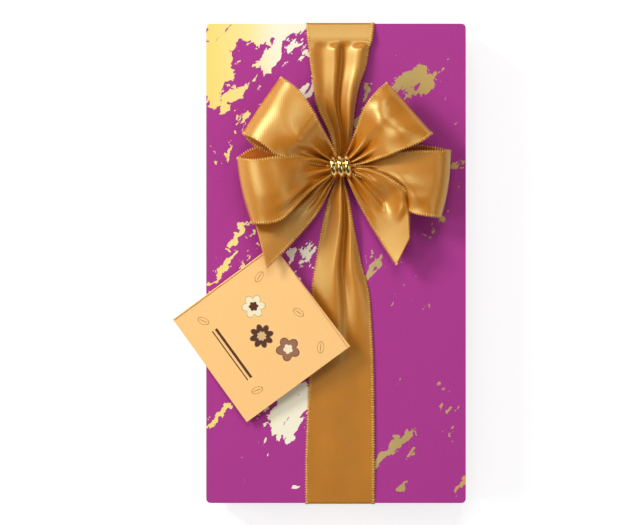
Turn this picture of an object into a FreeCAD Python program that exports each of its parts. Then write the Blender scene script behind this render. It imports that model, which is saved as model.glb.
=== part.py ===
"""A gift box of chocolates: a rigid base under a lift-off lid, tied with a gathered satin ribbon.

Frame: the middle of the underside is the origin, X across the box, Y along it, Z up.
Sizes are millimetres and degrees.
"""
import FreeCAD, Part
import math
import os
import Sketcher

Vector = FreeCAD.Vector
UP = Vector(0, 0, 1)

# Every size that can be chosen by itself.
SIZES = {
    # Box.
    "lid_width": 95.0,
    "lid_length": 175.5,
    "lid_skirt": 20.0,
    "base_height": 25.0,
    "board": 1.5,
    "paper": 0.25,
    "corner_radius": 1.6,
    "turn_in": 12.0,
    "fit_gap": 0.4,
    "bottom_sheet": 0.3,
    "sheet_inset": 1.5,
    # Insert tray.
    "tray_gap": 0.4,
    "tray_height": 14.0,
    "tray_wall": 0.6,
    "tray_corner": 3.0,
    "tray_columns": 3,
    "tray_rows": 6,
    "cup_web": 3.5,
    "cup_draft": 6.0,
    # Chocolates.
    "praline_gap": 0.5,
    "praline_foot": 4.0,
    "dome_drop": 2.0,
    "pyramid_drop": 2.5,
    "button_drop": 4.5,
    "button_bevel": 3.0,
    "heart_drop": 5.0,
    "heart_bevel": 2.5,
    "bar_drop": 4.0,
    "truffle_drop": 1.0,
    # Cushion pad.
    "pad_thickness": 3.0,
    "pad_gap": 0.6,
    "pad_side_gap": 1.5,
    "channel_count": 17,
    "channel_width": 2.4,
    "channel_depth": 1.1,
    # Ribbon along the lid.
    "ribbon_width": 25.0,
    "ribbon_thickness": 0.4,
    "ribbon_shift": 1.5,
    "ribbon_tuck": 9.0,
    "flat_end": 7.0,
    "gather_length": 80.0,
    "gathered_width": 5.0,
    "gathered_ridge": 1.2,
    "upper_ridge": 3.6,
    "lower_ridge": 4.4,
    # Bow.
    "bow_along": 35.4,
    "seat_gap": 0.3,
    "wire_diameter": 1.7,
    "wire_gap": 0.5,
    "wire_turns": 3,
    "middle_radius": 2.1,
    "middle_flare": 3.3,
    "flare_length": 1.8,
    "loop_start": 7.0,
    "loop_pinch": 2.0,
    "upper_left_length": 36.0,
    "upper_left_bearing": 142.4,
    "upper_left_depth": 11.0,
    "upper_left_rise": 6.0,
    "left_length": 36.0,
    "left_bearing": 194.5,
    "left_depth": 10.0,
    "left_rise": 6.4,
    "upper_right_length": 32.7,
    "upper_right_bearing": 39.6,
    "upper_right_depth": 9.0,
    "upper_right_rise": 6.0,
    "right_length": 39.2,
    "right_bearing": -10.1,
    "right_depth": 7.5,
    "right_rise": 3.0,
    "tail_foot": 3.6,
    "left_tail_long": 46.0,
    "left_tail_long_bearing": 234.5,
    "left_tail_short": 35.4,
    "left_tail_short_bearing": 202.2,
    "left_tail_clearance": 5.0,
    "right_tail_long": 41.7,
    "right_tail_long_bearing": -60.8,
    "right_tail_short": 29.2,
    "right_tail_short_bearing": -29.2,
    "right_tail_crest": 9.5,
    "right_tail_tip": 3.5,
    # Tag.
    "tag_side": 46.0,
    "tag_leaf": 0.35,
    "tag_fold_gap": 0.2,
    "tag_start": 0.35,
    "tag_gap": 0.3,
    "tag_turn": -53.8,
    "tag_from_bow_x": -24.1,
    "tag_from_bow_y": -29.1,
    "tag_misfold": 1.2,
    "tag_hole": 2.0,
    "hole_from_fold": 2.5,
    "hole_from_corner": 3.0,
}

doc = FreeCAD.newDocument("chocolate_box")
sheet = doc.addObject("Spreadsheet::Sheet", "sizes")
for row, (alias, number) in enumerate(SIZES.items(), start=1):
    sheet.set(f"A{row}", alias)
    sheet.set(f"B{row}", str(number))
    sheet.setAlias(f"B{row}", alias)
doc.recompute()
NODES = []


def value(expression):
    """The number an expression over the sheet stands for."""
    return float(sheet.evalExpression(expression))


def cell(alias):
    return f"sizes.{alias}"


def inset(side, *steps):
    """A width or length of the lid, drawn in on both sides by each of the steps."""
    return cell(side) + "".join(f" - 2 * {cell(step)}" for step in steps)


# Levels and outlines that follow from the sizes.
FLOOR = "sizes.bottom_sheet + sizes.board"
RIM = "sizes.bottom_sheet + sizes.base_height + sizes.paper"
LID_TOP = f"{RIM} + sizes.board + sizes.paper"
LID_FOOT = f"{RIM} - sizes.lid_skirt"
CUP_FLOOR = f"{FLOOR} + sizes.tray_wall"
LID_BOARD = ("paper",)
LID_INSIDE = LID_BOARD + ("board",)
BASE_OUTSIDE = LID_INSIDE + ("paper", "ribbon_thickness", "fit_gap")
BASE_BOARD = BASE_OUTSIDE + ("paper",)
BASE_INSIDE = BASE_BOARD + ("board",)
BASE_LINED = BASE_INSIDE + ("paper",)
TRAY = BASE_LINED + ("tray_gap",)
PAD = BASE_LINED + ("pad_side_gap",)
PITCH_X = f"({inset('lid_width', *TRAY)} - sizes.cup_web) / sizes.tray_columns"
PITCH_Y = f"({inset('lid_length', *TRAY)} - sizes.cup_web) / sizes.tray_rows"
CUP_X = f"({PITCH_X} - sizes.cup_web)"
CUP_Y = f"({PITCH_Y} - sizes.cup_web)"
CUP_DEPTH = "(sizes.tray_height - sizes.tray_wall)"
CUP_LEAN = f"2 * {CUP_DEPTH} * tan(sizes.cup_draft * 1 deg)"
PRALINE = f"(min({CUP_X}; {CUP_Y}) - {CUP_LEAN} - 2 * sizes.praline_gap)"
PRALINE_TOP = (f"(sizes.base_height + sizes.paper - sizes.board - sizes.tray_wall"
               " - sizes.pad_thickness - sizes.pad_gap)")


def new_body(label):
    body = doc.addObject("PartDesign::Body", label)
    body.Label = label
    NODES.append(body)
    return body


def new_sketch(body, role="XY_Plane", height=None):
    sketch = body.newObject("Sketcher::SketchObject", f"{body.Label}_sketch")
    plane = next(item for item in body.Origin.OriginFeatures if item.Role == role)
    sketch.AttachmentSupport = [(plane, "")]
    sketch.MapMode = "FlatFace"
    if height is not None:
        sketch.setExpression("AttachmentOffset.Base.z", height)
    return sketch


def dimension(sketch, constraint, expression):
    """Adds a dimension and ties it to an expression over the sheet."""
    index = sketch.addConstraint(constraint)
    sketch.setExpression(f"Constraints[{index}]", expression)


def polygon(sketch, points):
    """Closed lines through the points, joined end to end; returns the first line's number."""
    first = sketch.GeometryCount
    count = len(points)
    for index in range(count):
        sketch.addGeometry(Part.LineSegment(points[index], points[(index + 1) % count]), False)
    for index in range(count):
        following = first + (index + 1) % count
        sketch.addConstraint(Sketcher.Constraint("Coincident", first + index, 2, following, 1))
    return first


def rectangle(sketch, width, length):
    """A rectangle about the sketch's origin."""
    x = value(width) / 2
    y = value(length) / 2
    first = polygon(sketch, [Vector(-x, -y, 0), Vector(x, -y, 0), Vector(x, y, 0), Vector(-x, y, 0)])
    for side in (0, 2):
        sketch.addConstraint(Sketcher.Constraint("Horizontal", first + side))
        sketch.addConstraint(Sketcher.Constraint("Vertical", first + side + 1))
    sketch.addConstraint(Sketcher.Constraint("Symmetric", first, 1, first + 2, 1, -1, 1))
    dimension(sketch, Sketcher.Constraint("DistanceX", first, 1, first, 2, 2 * x), width)
    dimension(sketch, Sketcher.Constraint("DistanceY", first + 1, 1, first + 1, 2, 2 * y), length)


def rounded_rectangle(sketch, width, length, radius):
    """A rectangle about the sketch's origin with its four corners rounded."""
    x = value(width) / 2
    y = value(length) / 2
    r = value(radius)
    first = sketch.GeometryCount
    corners = [(x, -y, -90), (x, y, 0), (-x, y, 90), (-x, -y, 180)]
    ends = [
        (Vector(-x + r, -y, 0), Vector(x - r, -y, 0)),
        (Vector(x, -y + r, 0), Vector(x, y - r, 0)),
        (Vector(x - r, y, 0), Vector(-x + r, y, 0)),
        (Vector(-x, y - r, 0), Vector(-x, -y + r, 0)),
    ]
    for (start, stop), (cx, cy, angle) in zip(ends, corners):
        centre = Vector(cx - math.copysign(r, cx), cy - math.copysign(r, cy), 0)
        circle = Part.Circle(centre, UP, r)
        sketch.addGeometry(Part.LineSegment(start, stop), False)
        sketch.addGeometry(
            Part.ArcOfCircle(circle, math.radians(angle), math.radians(angle + 90)), False)
    for side in range(4):
        line = first + 2 * side
        following = first + 2 * ((side + 1) % 4)
        sketch.addConstraint(Sketcher.Constraint("Tangent", line, 2, line + 1, 1))
        sketch.addConstraint(Sketcher.Constraint("Tangent", line + 1, 2, following, 1))
        sketch.addConstraint(Sketcher.Constraint("Vertical" if side % 2 else "Horizontal", line))
    for side in range(1, 4):
        sketch.addConstraint(Sketcher.Constraint("Equal", first + 1, first + 1 + 2 * side))
    sketch.addConstraint(Sketcher.Constraint("Symmetric", first + 1, 3, first + 5, 3, -1, 1))
    dimension(sketch, Sketcher.Constraint("Radius", first + 1, r), radius)
    dimension(sketch, Sketcher.Constraint("DistanceX", first + 6, 1, first + 2, 1, 2 * x), width)
    dimension(sketch, Sketcher.Constraint("DistanceY", first, 1, first + 4, 1, 2 * y), length)


def pad(body, sketch, length, taper=None, down=False):
    feature = body.newObject("PartDesign::Pad", f"{body.Label}_pad")
    feature.Profile = sketch
    feature.setExpression("Length", length)
    feature.Reversed = down
    if taper is not None:
        feature.setExpression("TaperAngle", taper)
    doc.recompute()
    return feature


def pocket(body, sketch, depth, taper=None, upward=False):
    feature = body.newObject("PartDesign::Pocket", f"{body.Label}_pocket")
    feature.Profile = sketch
    feature.setExpression("Length", depth)
    feature.Reversed = upward
    if taper is not None:
        feature.setExpression("TaperAngle", taper)
    doc.recompute()
    return feature


def bevel_top(body, solid, width, bottom=False):
    """Bevels every edge of the topmost face, or of the lowest one."""
    bounds = solid.Shape.BoundBox
    names = []
    for index, edge in enumerate(solid.Shape.Edges, start=1):
        box = edge.BoundBox
        if (bottom and box.ZMax < bounds.ZMin + 1e-4) or (not bottom and box.ZMin > bounds.ZMax - 1e-4):
            names.append(f"Edge{index}")
    feature = body.newObject("PartDesign::Chamfer", f"{body.Label}_bevel")
    feature.Base = (solid, names)
    feature.setExpression("Size", width)
    doc.recompute()
    return feature


def wedge(body, kind, base, size, depth, lean, upward):
    """A block whose four sides lean in by the same amount, from its level base up or down.

    Base is x, y and height, size is x and y; all are expressions.
    """
    feature = body.newObject(f"PartDesign::{kind}Wedge", f"{body.Label}_wedge")
    plane = next(item for item in body.Origin.OriginFeatures if item.Role == "XY_Plane")
    feature.AttachmentSupport = [(plane, "")]
    feature.MapMode = "FlatFace"
    turn = FreeCAD.Rotation(Vector(1, 0, 0), 90 if upward else -90)
    feature.AttachmentOffset = FreeCAD.Placement(Vector(0, 0, 0), turn)
    for axis, at in zip("xyz", base):
        feature.setExpression(f"AttachmentOffset.Base.{axis}", at)
    feature.setExpression("Ymin", "0")
    feature.setExpression("Ymax", depth)
    for axis, extent in zip("XZ", size):
        feature.setExpression(f"{axis}min", f"-({extent}) / 2")
        feature.setExpression(f"{axis}max", f"({extent}) / 2")
        feature.setExpression(f"{axis}2min", f"-({extent}) / 2 + {lean}")
        feature.setExpression(f"{axis}2max", f"({extent}) / 2 - {lean}")
    doc.recompute()
    return feature


def repeat(body, features, directions):
    """Repeats features along one or two directions, each given as axis, span and count."""
    multi = body.newObject("PartDesign::MultiTransform", f"{body.Label}_grid")
    multi.Originals = features
    steps = []
    for axis, span, count in directions:
        step = doc.addObject("PartDesign::LinearPattern", f"{body.Label}_row")
        step.Direction = axis
        step.setExpression("Length", span)
        step.setExpression("Occurrences", count)
        steps.append(step)
    multi.Transformations = steps
    body.Tip = multi
    doc.recompute()
    return multi


def new_feature(label, shape):
    item = doc.addObject("Part::Feature", label)
    item.Label = label
    if shape.Volume < 0:
        shape.reverse()
    item.Shape = shape
    NODES.append(item)
    return item


def box_outline(sketch, steps, radius=None):
    width = inset("lid_width", *steps)
    length = inset("lid_length", *steps)
    if radius is None:
        rectangle(sketch, width, length)
    else:
        rounded_rectangle(sketch, width, length, radius)


def make_base_board():
    body = new_body("base_board")
    outline = new_sketch(body, height=cell("bottom_sheet"))
    box_outline(outline, BASE_BOARD, "sizes.corner_radius - sizes.paper")
    pad(body, outline, cell("base_height"))
    hollow = new_sketch(body, height="sizes.bottom_sheet + sizes.base_height")
    box_outline(hollow, BASE_INSIDE)
    pocket(body, hollow, "sizes.base_height - sizes.board")


def make_base_paper():
    """Paper round the base's walls, over the rim and a little way down inside."""
    body = new_body("base_cover_paper")
    turn = f"{RIM} - sizes.turn_in"
    outline = new_sketch(body, height=cell("bottom_sheet"))
    box_outline(outline, BASE_OUTSIDE, cell("corner_radius"))
    pad(body, outline, "sizes.base_height + sizes.paper")
    inside = new_sketch(body, height=RIM)
    box_outline(inside, BASE_LINED)
    pocket(body, inside, cell("turn_in"))
    below = new_sketch(body, height=turn)
    box_outline(below, BASE_BOARD, "sizes.corner_radius - sizes.paper")
    pocket(body, below, "sizes.base_height + sizes.paper - sizes.turn_in")
    slot = new_sketch(body, height=turn)
    box_outline(slot, BASE_BOARD, "sizes.corner_radius - sizes.paper")
    box_outline(slot, BASE_INSIDE)
    pocket(body, slot, "sizes.turn_in - sizes.paper", upward=True)


def make_bottom_sheet():
    body = new_body("base_bottom_sheet")
    outline = new_sketch(body)
    box_outline(outline, BASE_BOARD + ("sheet_inset",), cell("corner_radius"))
    pad(body, outline, cell("bottom_sheet"))


def make_lid_board():
    body = new_body("lid_board")
    outline = new_sketch(body, height=LID_FOOT)
    box_outline(outline, LID_BOARD, "sizes.corner_radius - sizes.paper")
    pad(body, outline, "sizes.lid_skirt + sizes.board")
    hollow = new_sketch(body, height=LID_FOOT)
    box_outline(hollow, LID_INSIDE)
    pocket(body, hollow, cell("lid_skirt"), upward=True)


def make_lid_paper():
    """Paper over the lid, round its rim and a little way up inside."""
    body = new_body("lid_cover_paper")
    foot = f"{LID_FOOT} - sizes.paper"
    turn = f"{foot} + sizes.turn_in"
    outline = new_sketch(body, height=foot)
    box_outline(outline, (), cell("corner_radius"))
    pad(body, outline, "sizes.lid_skirt + sizes.board + 2 * sizes.paper")
    inside = new_sketch(body, height=foot)
    box_outline(inside, LID_INSIDE + ("paper",))
    pocket(body, inside, cell("turn_in"), upward=True)
    above = new_sketch(body, height=turn)
    box_outline(above, LID_BOARD, "sizes.corner_radius - sizes.paper")
    pocket(body, above, "sizes.lid_skirt + sizes.board + sizes.paper - sizes.turn_in", upward=True)
    slot = new_sketch(body, height=turn)
    box_outline(slot, LID_BOARD, "sizes.corner_radius - sizes.paper")
    box_outline(slot, LID_INSIDE)
    pocket(body, slot, "sizes.turn_in - sizes.paper")


def make_tray():
    """A formed sheet: a deck and skirt with a grid of tapered cups that stand on the floor."""
    body = new_body("insert_tray")
    deck = f"{FLOOR} + sizes.tray_height"
    outline = new_sketch(body, height=FLOOR)
    box_outline(outline, TRAY, cell("tray_corner"))
    pad(body, outline, cell("tray_height"))
    under = new_sketch(body, height=FLOOR)
    box_outline(under, TRAY + ("tray_wall",), "sizes.tray_corner - sizes.tray_wall")
    pocket(body, under, CUP_DEPTH, upward=True)
    corner = (f"-{PITCH_X} * (sizes.tray_columns - 1) / 2", f"-{PITCH_Y} * (sizes.tray_rows - 1) / 2", deck)
    around = (f"{CUP_X} + 2 * sizes.tray_wall", f"{CUP_Y} + 2 * sizes.tray_wall")
    cup = wedge(body, "Additive", corner, around, cell("tray_height"),
                "sizes.tray_height * tan(sizes.cup_draft * 1 deg)", upward=False)
    hollow = wedge(body, "Subtractive", corner, (CUP_X, CUP_Y), CUP_DEPTH,
                   f"{CUP_DEPTH} * tan(sizes.cup_draft * 1 deg)", upward=False)
    across = ((outline, ["H_Axis"]), f"{PITCH_X} * (sizes.tray_columns - 1)", cell("tray_columns"))
    along = ((outline, ["V_Axis"]), f"{PITCH_Y} * (sizes.tray_rows - 1)", cell("tray_rows"))
    repeat(body, [cup, hollow], [across, along])


def make_pad():
    """A quilted paper cushion under the lid, with channels pressed across it."""
    body = new_body("cushion_pad")
    underside = f"{RIM} - sizes.pad_thickness"
    outline = new_sketch(body, height=underside)
    box_outline(outline, PAD, cell("tray_corner"))
    pad(body, outline, cell("pad_thickness"))
    width = inset("lid_width", *PAD)
    spacing = f"({inset('lid_length', *PAD)}) / (sizes.channel_count + 1)"
    start = f"-({spacing}) * (sizes.channel_count - 1) / 2"
    groove = new_sketch(body, role="YZ_Plane", height=f"-({width}) / 2")
    groove.setExpression("AttachmentOffset.Base.x", start)
    groove.setExpression("AttachmentOffset.Base.y", underside)
    half = value("sizes.channel_width") / 2
    depth = value("sizes.channel_depth")
    first = polygon(groove, [Vector(-half, 0, 0), Vector(half, 0, 0), Vector(0, depth, 0)])
    groove.addConstraint(Sketcher.Constraint("Symmetric", first, 1, first, 2, -1, 1))
    groove.addConstraint(Sketcher.Constraint("PointOnObject", first + 1, 2, -2))
    groove.addConstraint(Sketcher.Constraint("Horizontal", first))
    dimension(groove, Sketcher.Constraint("DistanceX", first, 1, first, 2, 2 * half),
              cell("channel_width"))
    dimension(groove, Sketcher.Constraint("DistanceY", -1, 1, first + 1, 2, depth),
              cell("channel_depth"))
    channel = pocket(body, groove, width, upward=True)
    repeat(body, [channel], [((groove, ["H_Axis"]), f"({spacing}) * (sizes.channel_count - 1)",
                              cell("channel_count"))])


def regular_outline(sketch, count, radius):
    """A regular polygon in a circle whose radius is an expression."""
    r = value(radius)
    points = []
    for index in range(count):
        angle = 2 * math.pi * (index + 0.5) / count
        points.append(Vector(r * math.cos(angle), r * math.sin(angle), 0))
    first = polygon(sketch, points)
    ring = sketch.addGeometry(Part.Circle(Vector(0, 0, 0), UP, r), True)
    sketch.addConstraint(Sketcher.Constraint("Coincident", ring, 3, -1, 1))
    for index in range(count):
        sketch.addConstraint(Sketcher.Constraint("PointOnObject", first + index, 1, ring))
    for index in range(1, count):
        sketch.addConstraint(Sketcher.Constraint("Equal", first, first + index))
    sketch.addConstraint(Sketcher.Constraint("Vertical", first + count - 1))
    dimension(sketch, Sketcher.Constraint("Radius", ring, r), radius)


def dome(body):
    """Sixteen flat sides under two rings of bevels."""
    top = f"({PRALINE_TOP} - sizes.dome_drop)"
    outline = new_sketch(body, height=CUP_FLOOR)
    regular_outline(outline, 16, f"{PRALINE} / 2")
    solid = pad(body, outline, top)
    shoulder = bevel_top(body, solid, f"{PRALINE} * 0.28")
    bevel_top(body, shoulder, f"{PRALINE} * 0.12")


def truffle(body):
    """Fourteen flat sides, bevelled above and below."""
    top = f"({PRALINE_TOP} - sizes.truffle_drop)"
    outline = new_sketch(body, height=CUP_FLOOR)
    regular_outline(outline, 14, f"{PRALINE} / 2")
    solid = pad(body, outline, top)
    rounded = bevel_top(body, solid, f"{PRALINE} * 0.26")
    rounded = bevel_top(body, rounded, f"{PRALINE} * 0.1")
    bevel_top(body, rounded, f"{PRALINE} * 0.2", bottom=True)


def pyramid(body):
    """A square foot with a pyramid on it, cut off just below its point."""
    top = f"({PRALINE_TOP} - sizes.pyramid_drop)"
    side = f"{PRALINE} * 0.92"
    foot = new_sketch(body, height=CUP_FLOOR)
    rectangle(foot, side, side)
    pad(body, foot, cell("praline_foot"))
    base = ("0", "0", f"{CUP_FLOOR} + sizes.praline_foot")
    wedge(body, "Additive", base, (side, side), f"{top} - sizes.praline_foot", f"{PRALINE} * 0.38", upward=True)


def button(body):
    """Twelve flat sides and a bevelled top."""
    top = f"({PRALINE_TOP} - sizes.button_drop)"
    outline = new_sketch(body, height=CUP_FLOOR)
    regular_outline(outline, 12, f"{PRALINE} / 2")
    solid = pad(body, outline, top)
    bevel_top(body, solid, cell("button_bevel"))


def bar(body):
    """A small ingot with three raised bars across its top."""
    top = f"({PRALINE_TOP} - sizes.bar_drop)"
    lean = f"{PRALINE} * 0.1"
    wedge(body, "Additive", ("0", "0", CUP_FLOOR), (PRALINE, f"{PRALINE} * 0.8"), f"{top} * 0.9", lean, upward=True)
    rib = new_sketch(body, height=f"{CUP_FLOOR} + {top} * 0.9")
    rib.setExpression("AttachmentOffset.Base.x", f"-{PRALINE} * 0.25")
    rectangle(rib, f"{PRALINE} * 0.13", f"{PRALINE} * 0.6")
    raised = pad(body, rib, f"{top} * 0.1")
    repeat(body, [raised], [((rib, ["H_Axis"]), f"{PRALINE} * 0.5", "3")])


def heart(body):
    """Two round lobes and a point, with leaning sides."""
    top = f"({PRALINE_TOP} - sizes.heart_drop)"
    sketch = new_sketch(body, height=CUP_FLOOR)
    side = value(PRALINE) * 0.53
    lobe = side / 2
    low = side * 0.78
    corner = Vector(side * math.sqrt(0.5), side * math.sqrt(0.5) - low, 0)
    point = Vector(0, -low, 0)
    notch = Vector(0, side * math.sqrt(2) - low, 0)
    other = Vector(-corner.x, corner.y, 0)
    right = Part.Circle((corner + notch) * 0.5, UP, lobe)
    left = Part.Circle((other + notch) * 0.5, UP, lobe)
    first = sketch.addGeometry(Part.LineSegment(point, corner), False)
    sketch.addGeometry(Part.ArcOfCircle(right, math.radians(-45), math.radians(135)), False)
    sketch.addGeometry(Part.ArcOfCircle(left, math.radians(45), math.radians(225)), False)
    sketch.addGeometry(Part.LineSegment(other, point), False)
    for index in range(4):
        following = first + (index + 1) % 4
        sketch.addConstraint(Sketcher.Constraint("Coincident", first + index, 2, following, 1))
    sketch.addConstraint(Sketcher.Constraint("PointOnObject", first, 1, -2))
    sketch.addConstraint(Sketcher.Constraint("PointOnObject", first + 1, 2, -2))
    sketch.addConstraint(Sketcher.Constraint("Symmetric", first, 2, first + 3, 1, -2))
    sketch.addConstraint(Sketcher.Constraint("Symmetric", first + 1, 1, first + 1, 2, first + 1, 3))
    sketch.addConstraint(Sketcher.Constraint("Symmetric", first + 2, 1, first + 2, 2, first + 2, 3))
    edge = f"{PRALINE} * 0.53"
    dimension(sketch, Sketcher.Constraint("DistanceX", -1, 1, first, 2, corner.x), f"{edge} * sqrt(0.5)")
    dimension(sketch, Sketcher.Constraint("DistanceY", first, 1, first, 2, corner.y + low),
              f"{edge} * sqrt(0.5)")
    dimension(sketch, Sketcher.Constraint("DistanceY", first, 1, first + 1, 2, notch.y + low),
              f"{edge} * sqrt(2)")
    dimension(sketch, Sketcher.Constraint("DistanceY", first, 1, -1, 1, low), f"{edge} * 0.78")
    solid = pad(body, sketch, top)
    bevel_top(body, solid, cell("heart_bevel"))


PRALINE_KINDS = [
    ("dome", dome),
    ("pyramid", pyramid),
    ("truffle", truffle),
    ("heart", heart),
    ("bar", bar),
    ("button", button),
]


def make_pralines():
    columns = int(value("sizes.tray_columns"))
    rows = int(value("sizes.tray_rows"))
    for column in range(columns):
        for row in range(rows):
            name, shape = PRALINE_KINDS[(row + 2 * column) % len(PRALINE_KINDS)]
            body = new_body(f"praline_{name}_{column + 1}{row + 1}")
            shape(body)
            across = f"{PITCH_X} * ({column} - (sizes.tray_columns - 1) / 2)"
            along = f"{PITCH_Y} * ({row} - (sizes.tray_rows - 1) / 2)"
            body.Placement.Base = Vector(value(across), value(along), 0)
            body.setExpression("Placement.Base.x", across)
            body.setExpression("Placement.Base.y", along)


def closed_wire(points):
    return Part.makePolygon(points + points[:1])


def knot_height():
    """Height of the gathered middle's axis over the lid."""
    return value("sizes.gathered_ridge + sizes.ribbon_thickness + sizes.seat_gap"
                 " + sizes.middle_radius + sizes.seat_gap + sizes.wire_diameter")


def middle_half():
    """Half the length of the gathered middle: the winding and a flare at each end."""
    winding = value("sizes.wire_turns * (sizes.wire_diameter + sizes.wire_gap) + sizes.wire_diameter")
    return winding / 2 + value("sizes.flare_length")


def level_arc(start, stop, shift):
    """The arc from start to stop that runs level at stop, moved bodily outward by shift.

    Points are in the upright plane through X; returns the moved start, middle and stop.
    """
    reach = stop.x - start.x
    climb = stop.z - start.z
    radius = (reach * reach + climb * climb) / (2 * climb)
    centre = Vector(stop.x, 0, stop.z - radius)
    sweep = math.asin(min(1.0, reach / abs(radius)))
    side = 1 if radius > 0 else -1
    moved = abs(radius) + side * shift
    points = []
    for share in (1.0, 0.5, 0.0):
        angle = sweep * share
        points.append(centre + Vector(-moved * math.sin(angle), 0, side * moved * math.cos(angle)))
    return points


def upright_prism(points):
    """A tall prism over a flat outline, to cut ribbon to its plan."""
    tall = 100
    outline = [Vector(x, y, -tall) for x, y in points]
    return Part.Face(closed_wire(outline)).extrude(UP * (2 * tall))


def arc_edge(points):
    return Part.Arc(*points).toShape()


def ribbon_loop(name):
    """One loop of the bow: out from the middle, over a round end and back below.

    A profile of arcs is drawn out to the ribbon's width, then cut to the fan it makes.
    """
    length = value(f"sizes.{name}_length")
    round_end = value(f"sizes.{name}_depth") / 2
    rise = value(f"sizes.{name}_rise")
    bearing = value(f"sizes.{name}_bearing")
    start = value("sizes.loop_start")
    pinch = value("sizes.loop_pinch") / 2
    width = value("sizes.ribbon_width")
    thickness = value("sizes.ribbon_thickness")
    knot = knot_height()
    centre = Vector(length - round_end, 0, knot + rise)
    top = centre + UP * round_end
    bottom = centre - UP * round_end
    front = Vector(start, 0, knot + pinch)
    back = Vector(start, 0, knot - pinch)

    def outline(shift):
        over = level_arc(front, top, -shift)
        under = level_arc(back, bottom, shift)
        turn = round_end - shift
        diagonal = turn * math.sqrt(0.5)
        tip = centre + Vector(turn, 0, 0)
        upper = [over[2], centre + Vector(diagonal, 0, diagonal), tip]
        lower = [tip, centre + Vector(diagonal, 0, -diagonal), under[2]]
        return [over, upper, lower, under[::-1]]

    outer = outline(0.0)
    inner = outline(thickness)
    edges = [arc_edge(points) for points in outer]
    edges.append(Part.makeLine(outer[3][2], inner[3][2]))
    edges.extend(arc_edge(points[::-1]) for points in reversed(inner))
    edges.append(Part.makeLine(inner[0][0], outer[0][0]))
    band = Part.Face(Part.Wire(edges)).extrude(Vector(0, width, 0))
    band.translate(Vector(0, -width / 2, 0))
    far = length + round_end
    spread = width / 2 * far / length
    fan = upright_prism([(0, 0), (far, -spread), (far, spread)])
    loop = band.common(fan)
    loop.rotate(Vector(0, 0, 0), UP, bearing)
    return loop


def ribbon_tail(name, middle_height, end_height, start_height):
    """One tail of the bow: an arched strip cut to a fan with a slanted end."""
    long_edge = value(f"sizes.{name}_long")
    short_edge = value(f"sizes.{name}_short")
    long_bearing = value(f"sizes.{name}_long_bearing")
    short_bearing = value(f"sizes.{name}_short_bearing")
    start = value("sizes.loop_start")
    drop = UP * value("sizes.ribbon_thickness")
    bearing = (long_bearing + short_bearing) / 2
    half = math.radians(long_bearing - short_bearing) / 2
    end = long_edge * math.cos(half)
    arch = [Vector(start * 0.9, 0, start_height), Vector((start + end) / 2, 0, middle_height),
            Vector(end, 0, end_height)]
    below = [point - drop for point in arch]
    edges = [arc_edge(arch), Part.makeLine(arch[2], below[2]), arc_edge(below[::-1]),
             Part.makeLine(below[0], arch[0])]
    reach = long_edge
    strip = Part.Face(Part.Wire(edges)).extrude(Vector(0, 2 * reach, 0))
    strip.translate(Vector(0, -reach, 0))
    corners = [(start, -half), (short_edge, -half), (long_edge, half), (start, half)]
    plan = [(at * math.cos(angle), at * math.sin(angle)) for at, angle in corners]
    tail = strip.common(upright_prism(plan))
    tail.rotate(Vector(0, 0, 0), UP, bearing)
    return tail


def folded_solid(sections):
    """A solid of flat facets through closed cross-sections with equal numbers of corners."""
    faces = [Part.Face(closed_wire(sections[0])), Part.Face(closed_wire(sections[-1]))]
    count = len(sections[0])
    for here, following in zip(sections, sections[1:]):
        for index in range(count):
            beside = (index + 1) % count
            corners = (here[index], here[beside], following[beside], following[index])
            for trio in ((0, 1, 2), (0, 2, 3)):
                faces.append(Part.Face(closed_wire([corners[corner] for corner in trio])))
    solid = Part.makeSolid(Part.makeShell(faces))
    if solid.Volume < 0:
        solid.reverse()
    return solid.removeSplitter()


def pleat_section(along, width, ridge):
    """A cross-section of the ribbon on the lid: two rounded ridges with a valley between them."""
    thickness = UP * value("sizes.ribbon_thickness")
    steps = 12
    lower = []
    for index in range(steps + 1):
        share = index / steps
        height = ridge * abs(math.sin(2 * math.pi * share)) ** 0.7
        lower.append(Vector(width * (share - 0.5), along, height))
    upper = [point + thickness for point in reversed(lower)]
    return lower + upper


def gathered_run(length, full_ridge, even):
    """The ribbon from the bow outward along +Y; even fans are straight, others open early."""
    narrow = value("sizes.gathered_width")
    full = value("sizes.ribbon_width")
    tied = value("sizes.gathered_ridge")
    sections = []
    count = 8
    for index in range(count + 1):
        share = index / count
        opened = share if even else math.sin(math.pi / 2 * share)
        width = narrow + (full - narrow) * opened
        ridge = 0.0
        if index < count:
            ridge = tied * (1 - share) + full_ridge * math.sin(math.pi * share)
        sections.append(pleat_section(length * share, width, ridge))
    return folded_solid(sections)


def end_wrap(flat):
    """The ribbon over one end of the lid: flat on top, down the wall, round the rim and up inside.

    Built in the plane of the lid's length with the lid's top edge as origin, +Y outward.
    """
    ribbon = value("sizes.ribbon_thickness")
    wall = value("sizes.board + 2 * sizes.paper")
    drop = value("sizes.lid_skirt + sizes.board + 2 * sizes.paper")
    tuck = value("sizes.ribbon_tuck")
    outline = [(-flat, 0), (0, 0), (0, -drop), (-wall, -drop), (-wall, -drop + tuck),
               (-wall - ribbon, -drop + tuck), (-wall - ribbon, -drop - ribbon),
               (ribbon, -drop - ribbon), (ribbon, ribbon), (-flat, ribbon)]
    half = value("sizes.ribbon_width") / 2
    points = [Vector(-half, along, height) for along, height in outline]
    return Part.Face(closed_wire(points)).extrude(Vector(2 * half, 0, 0))


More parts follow.
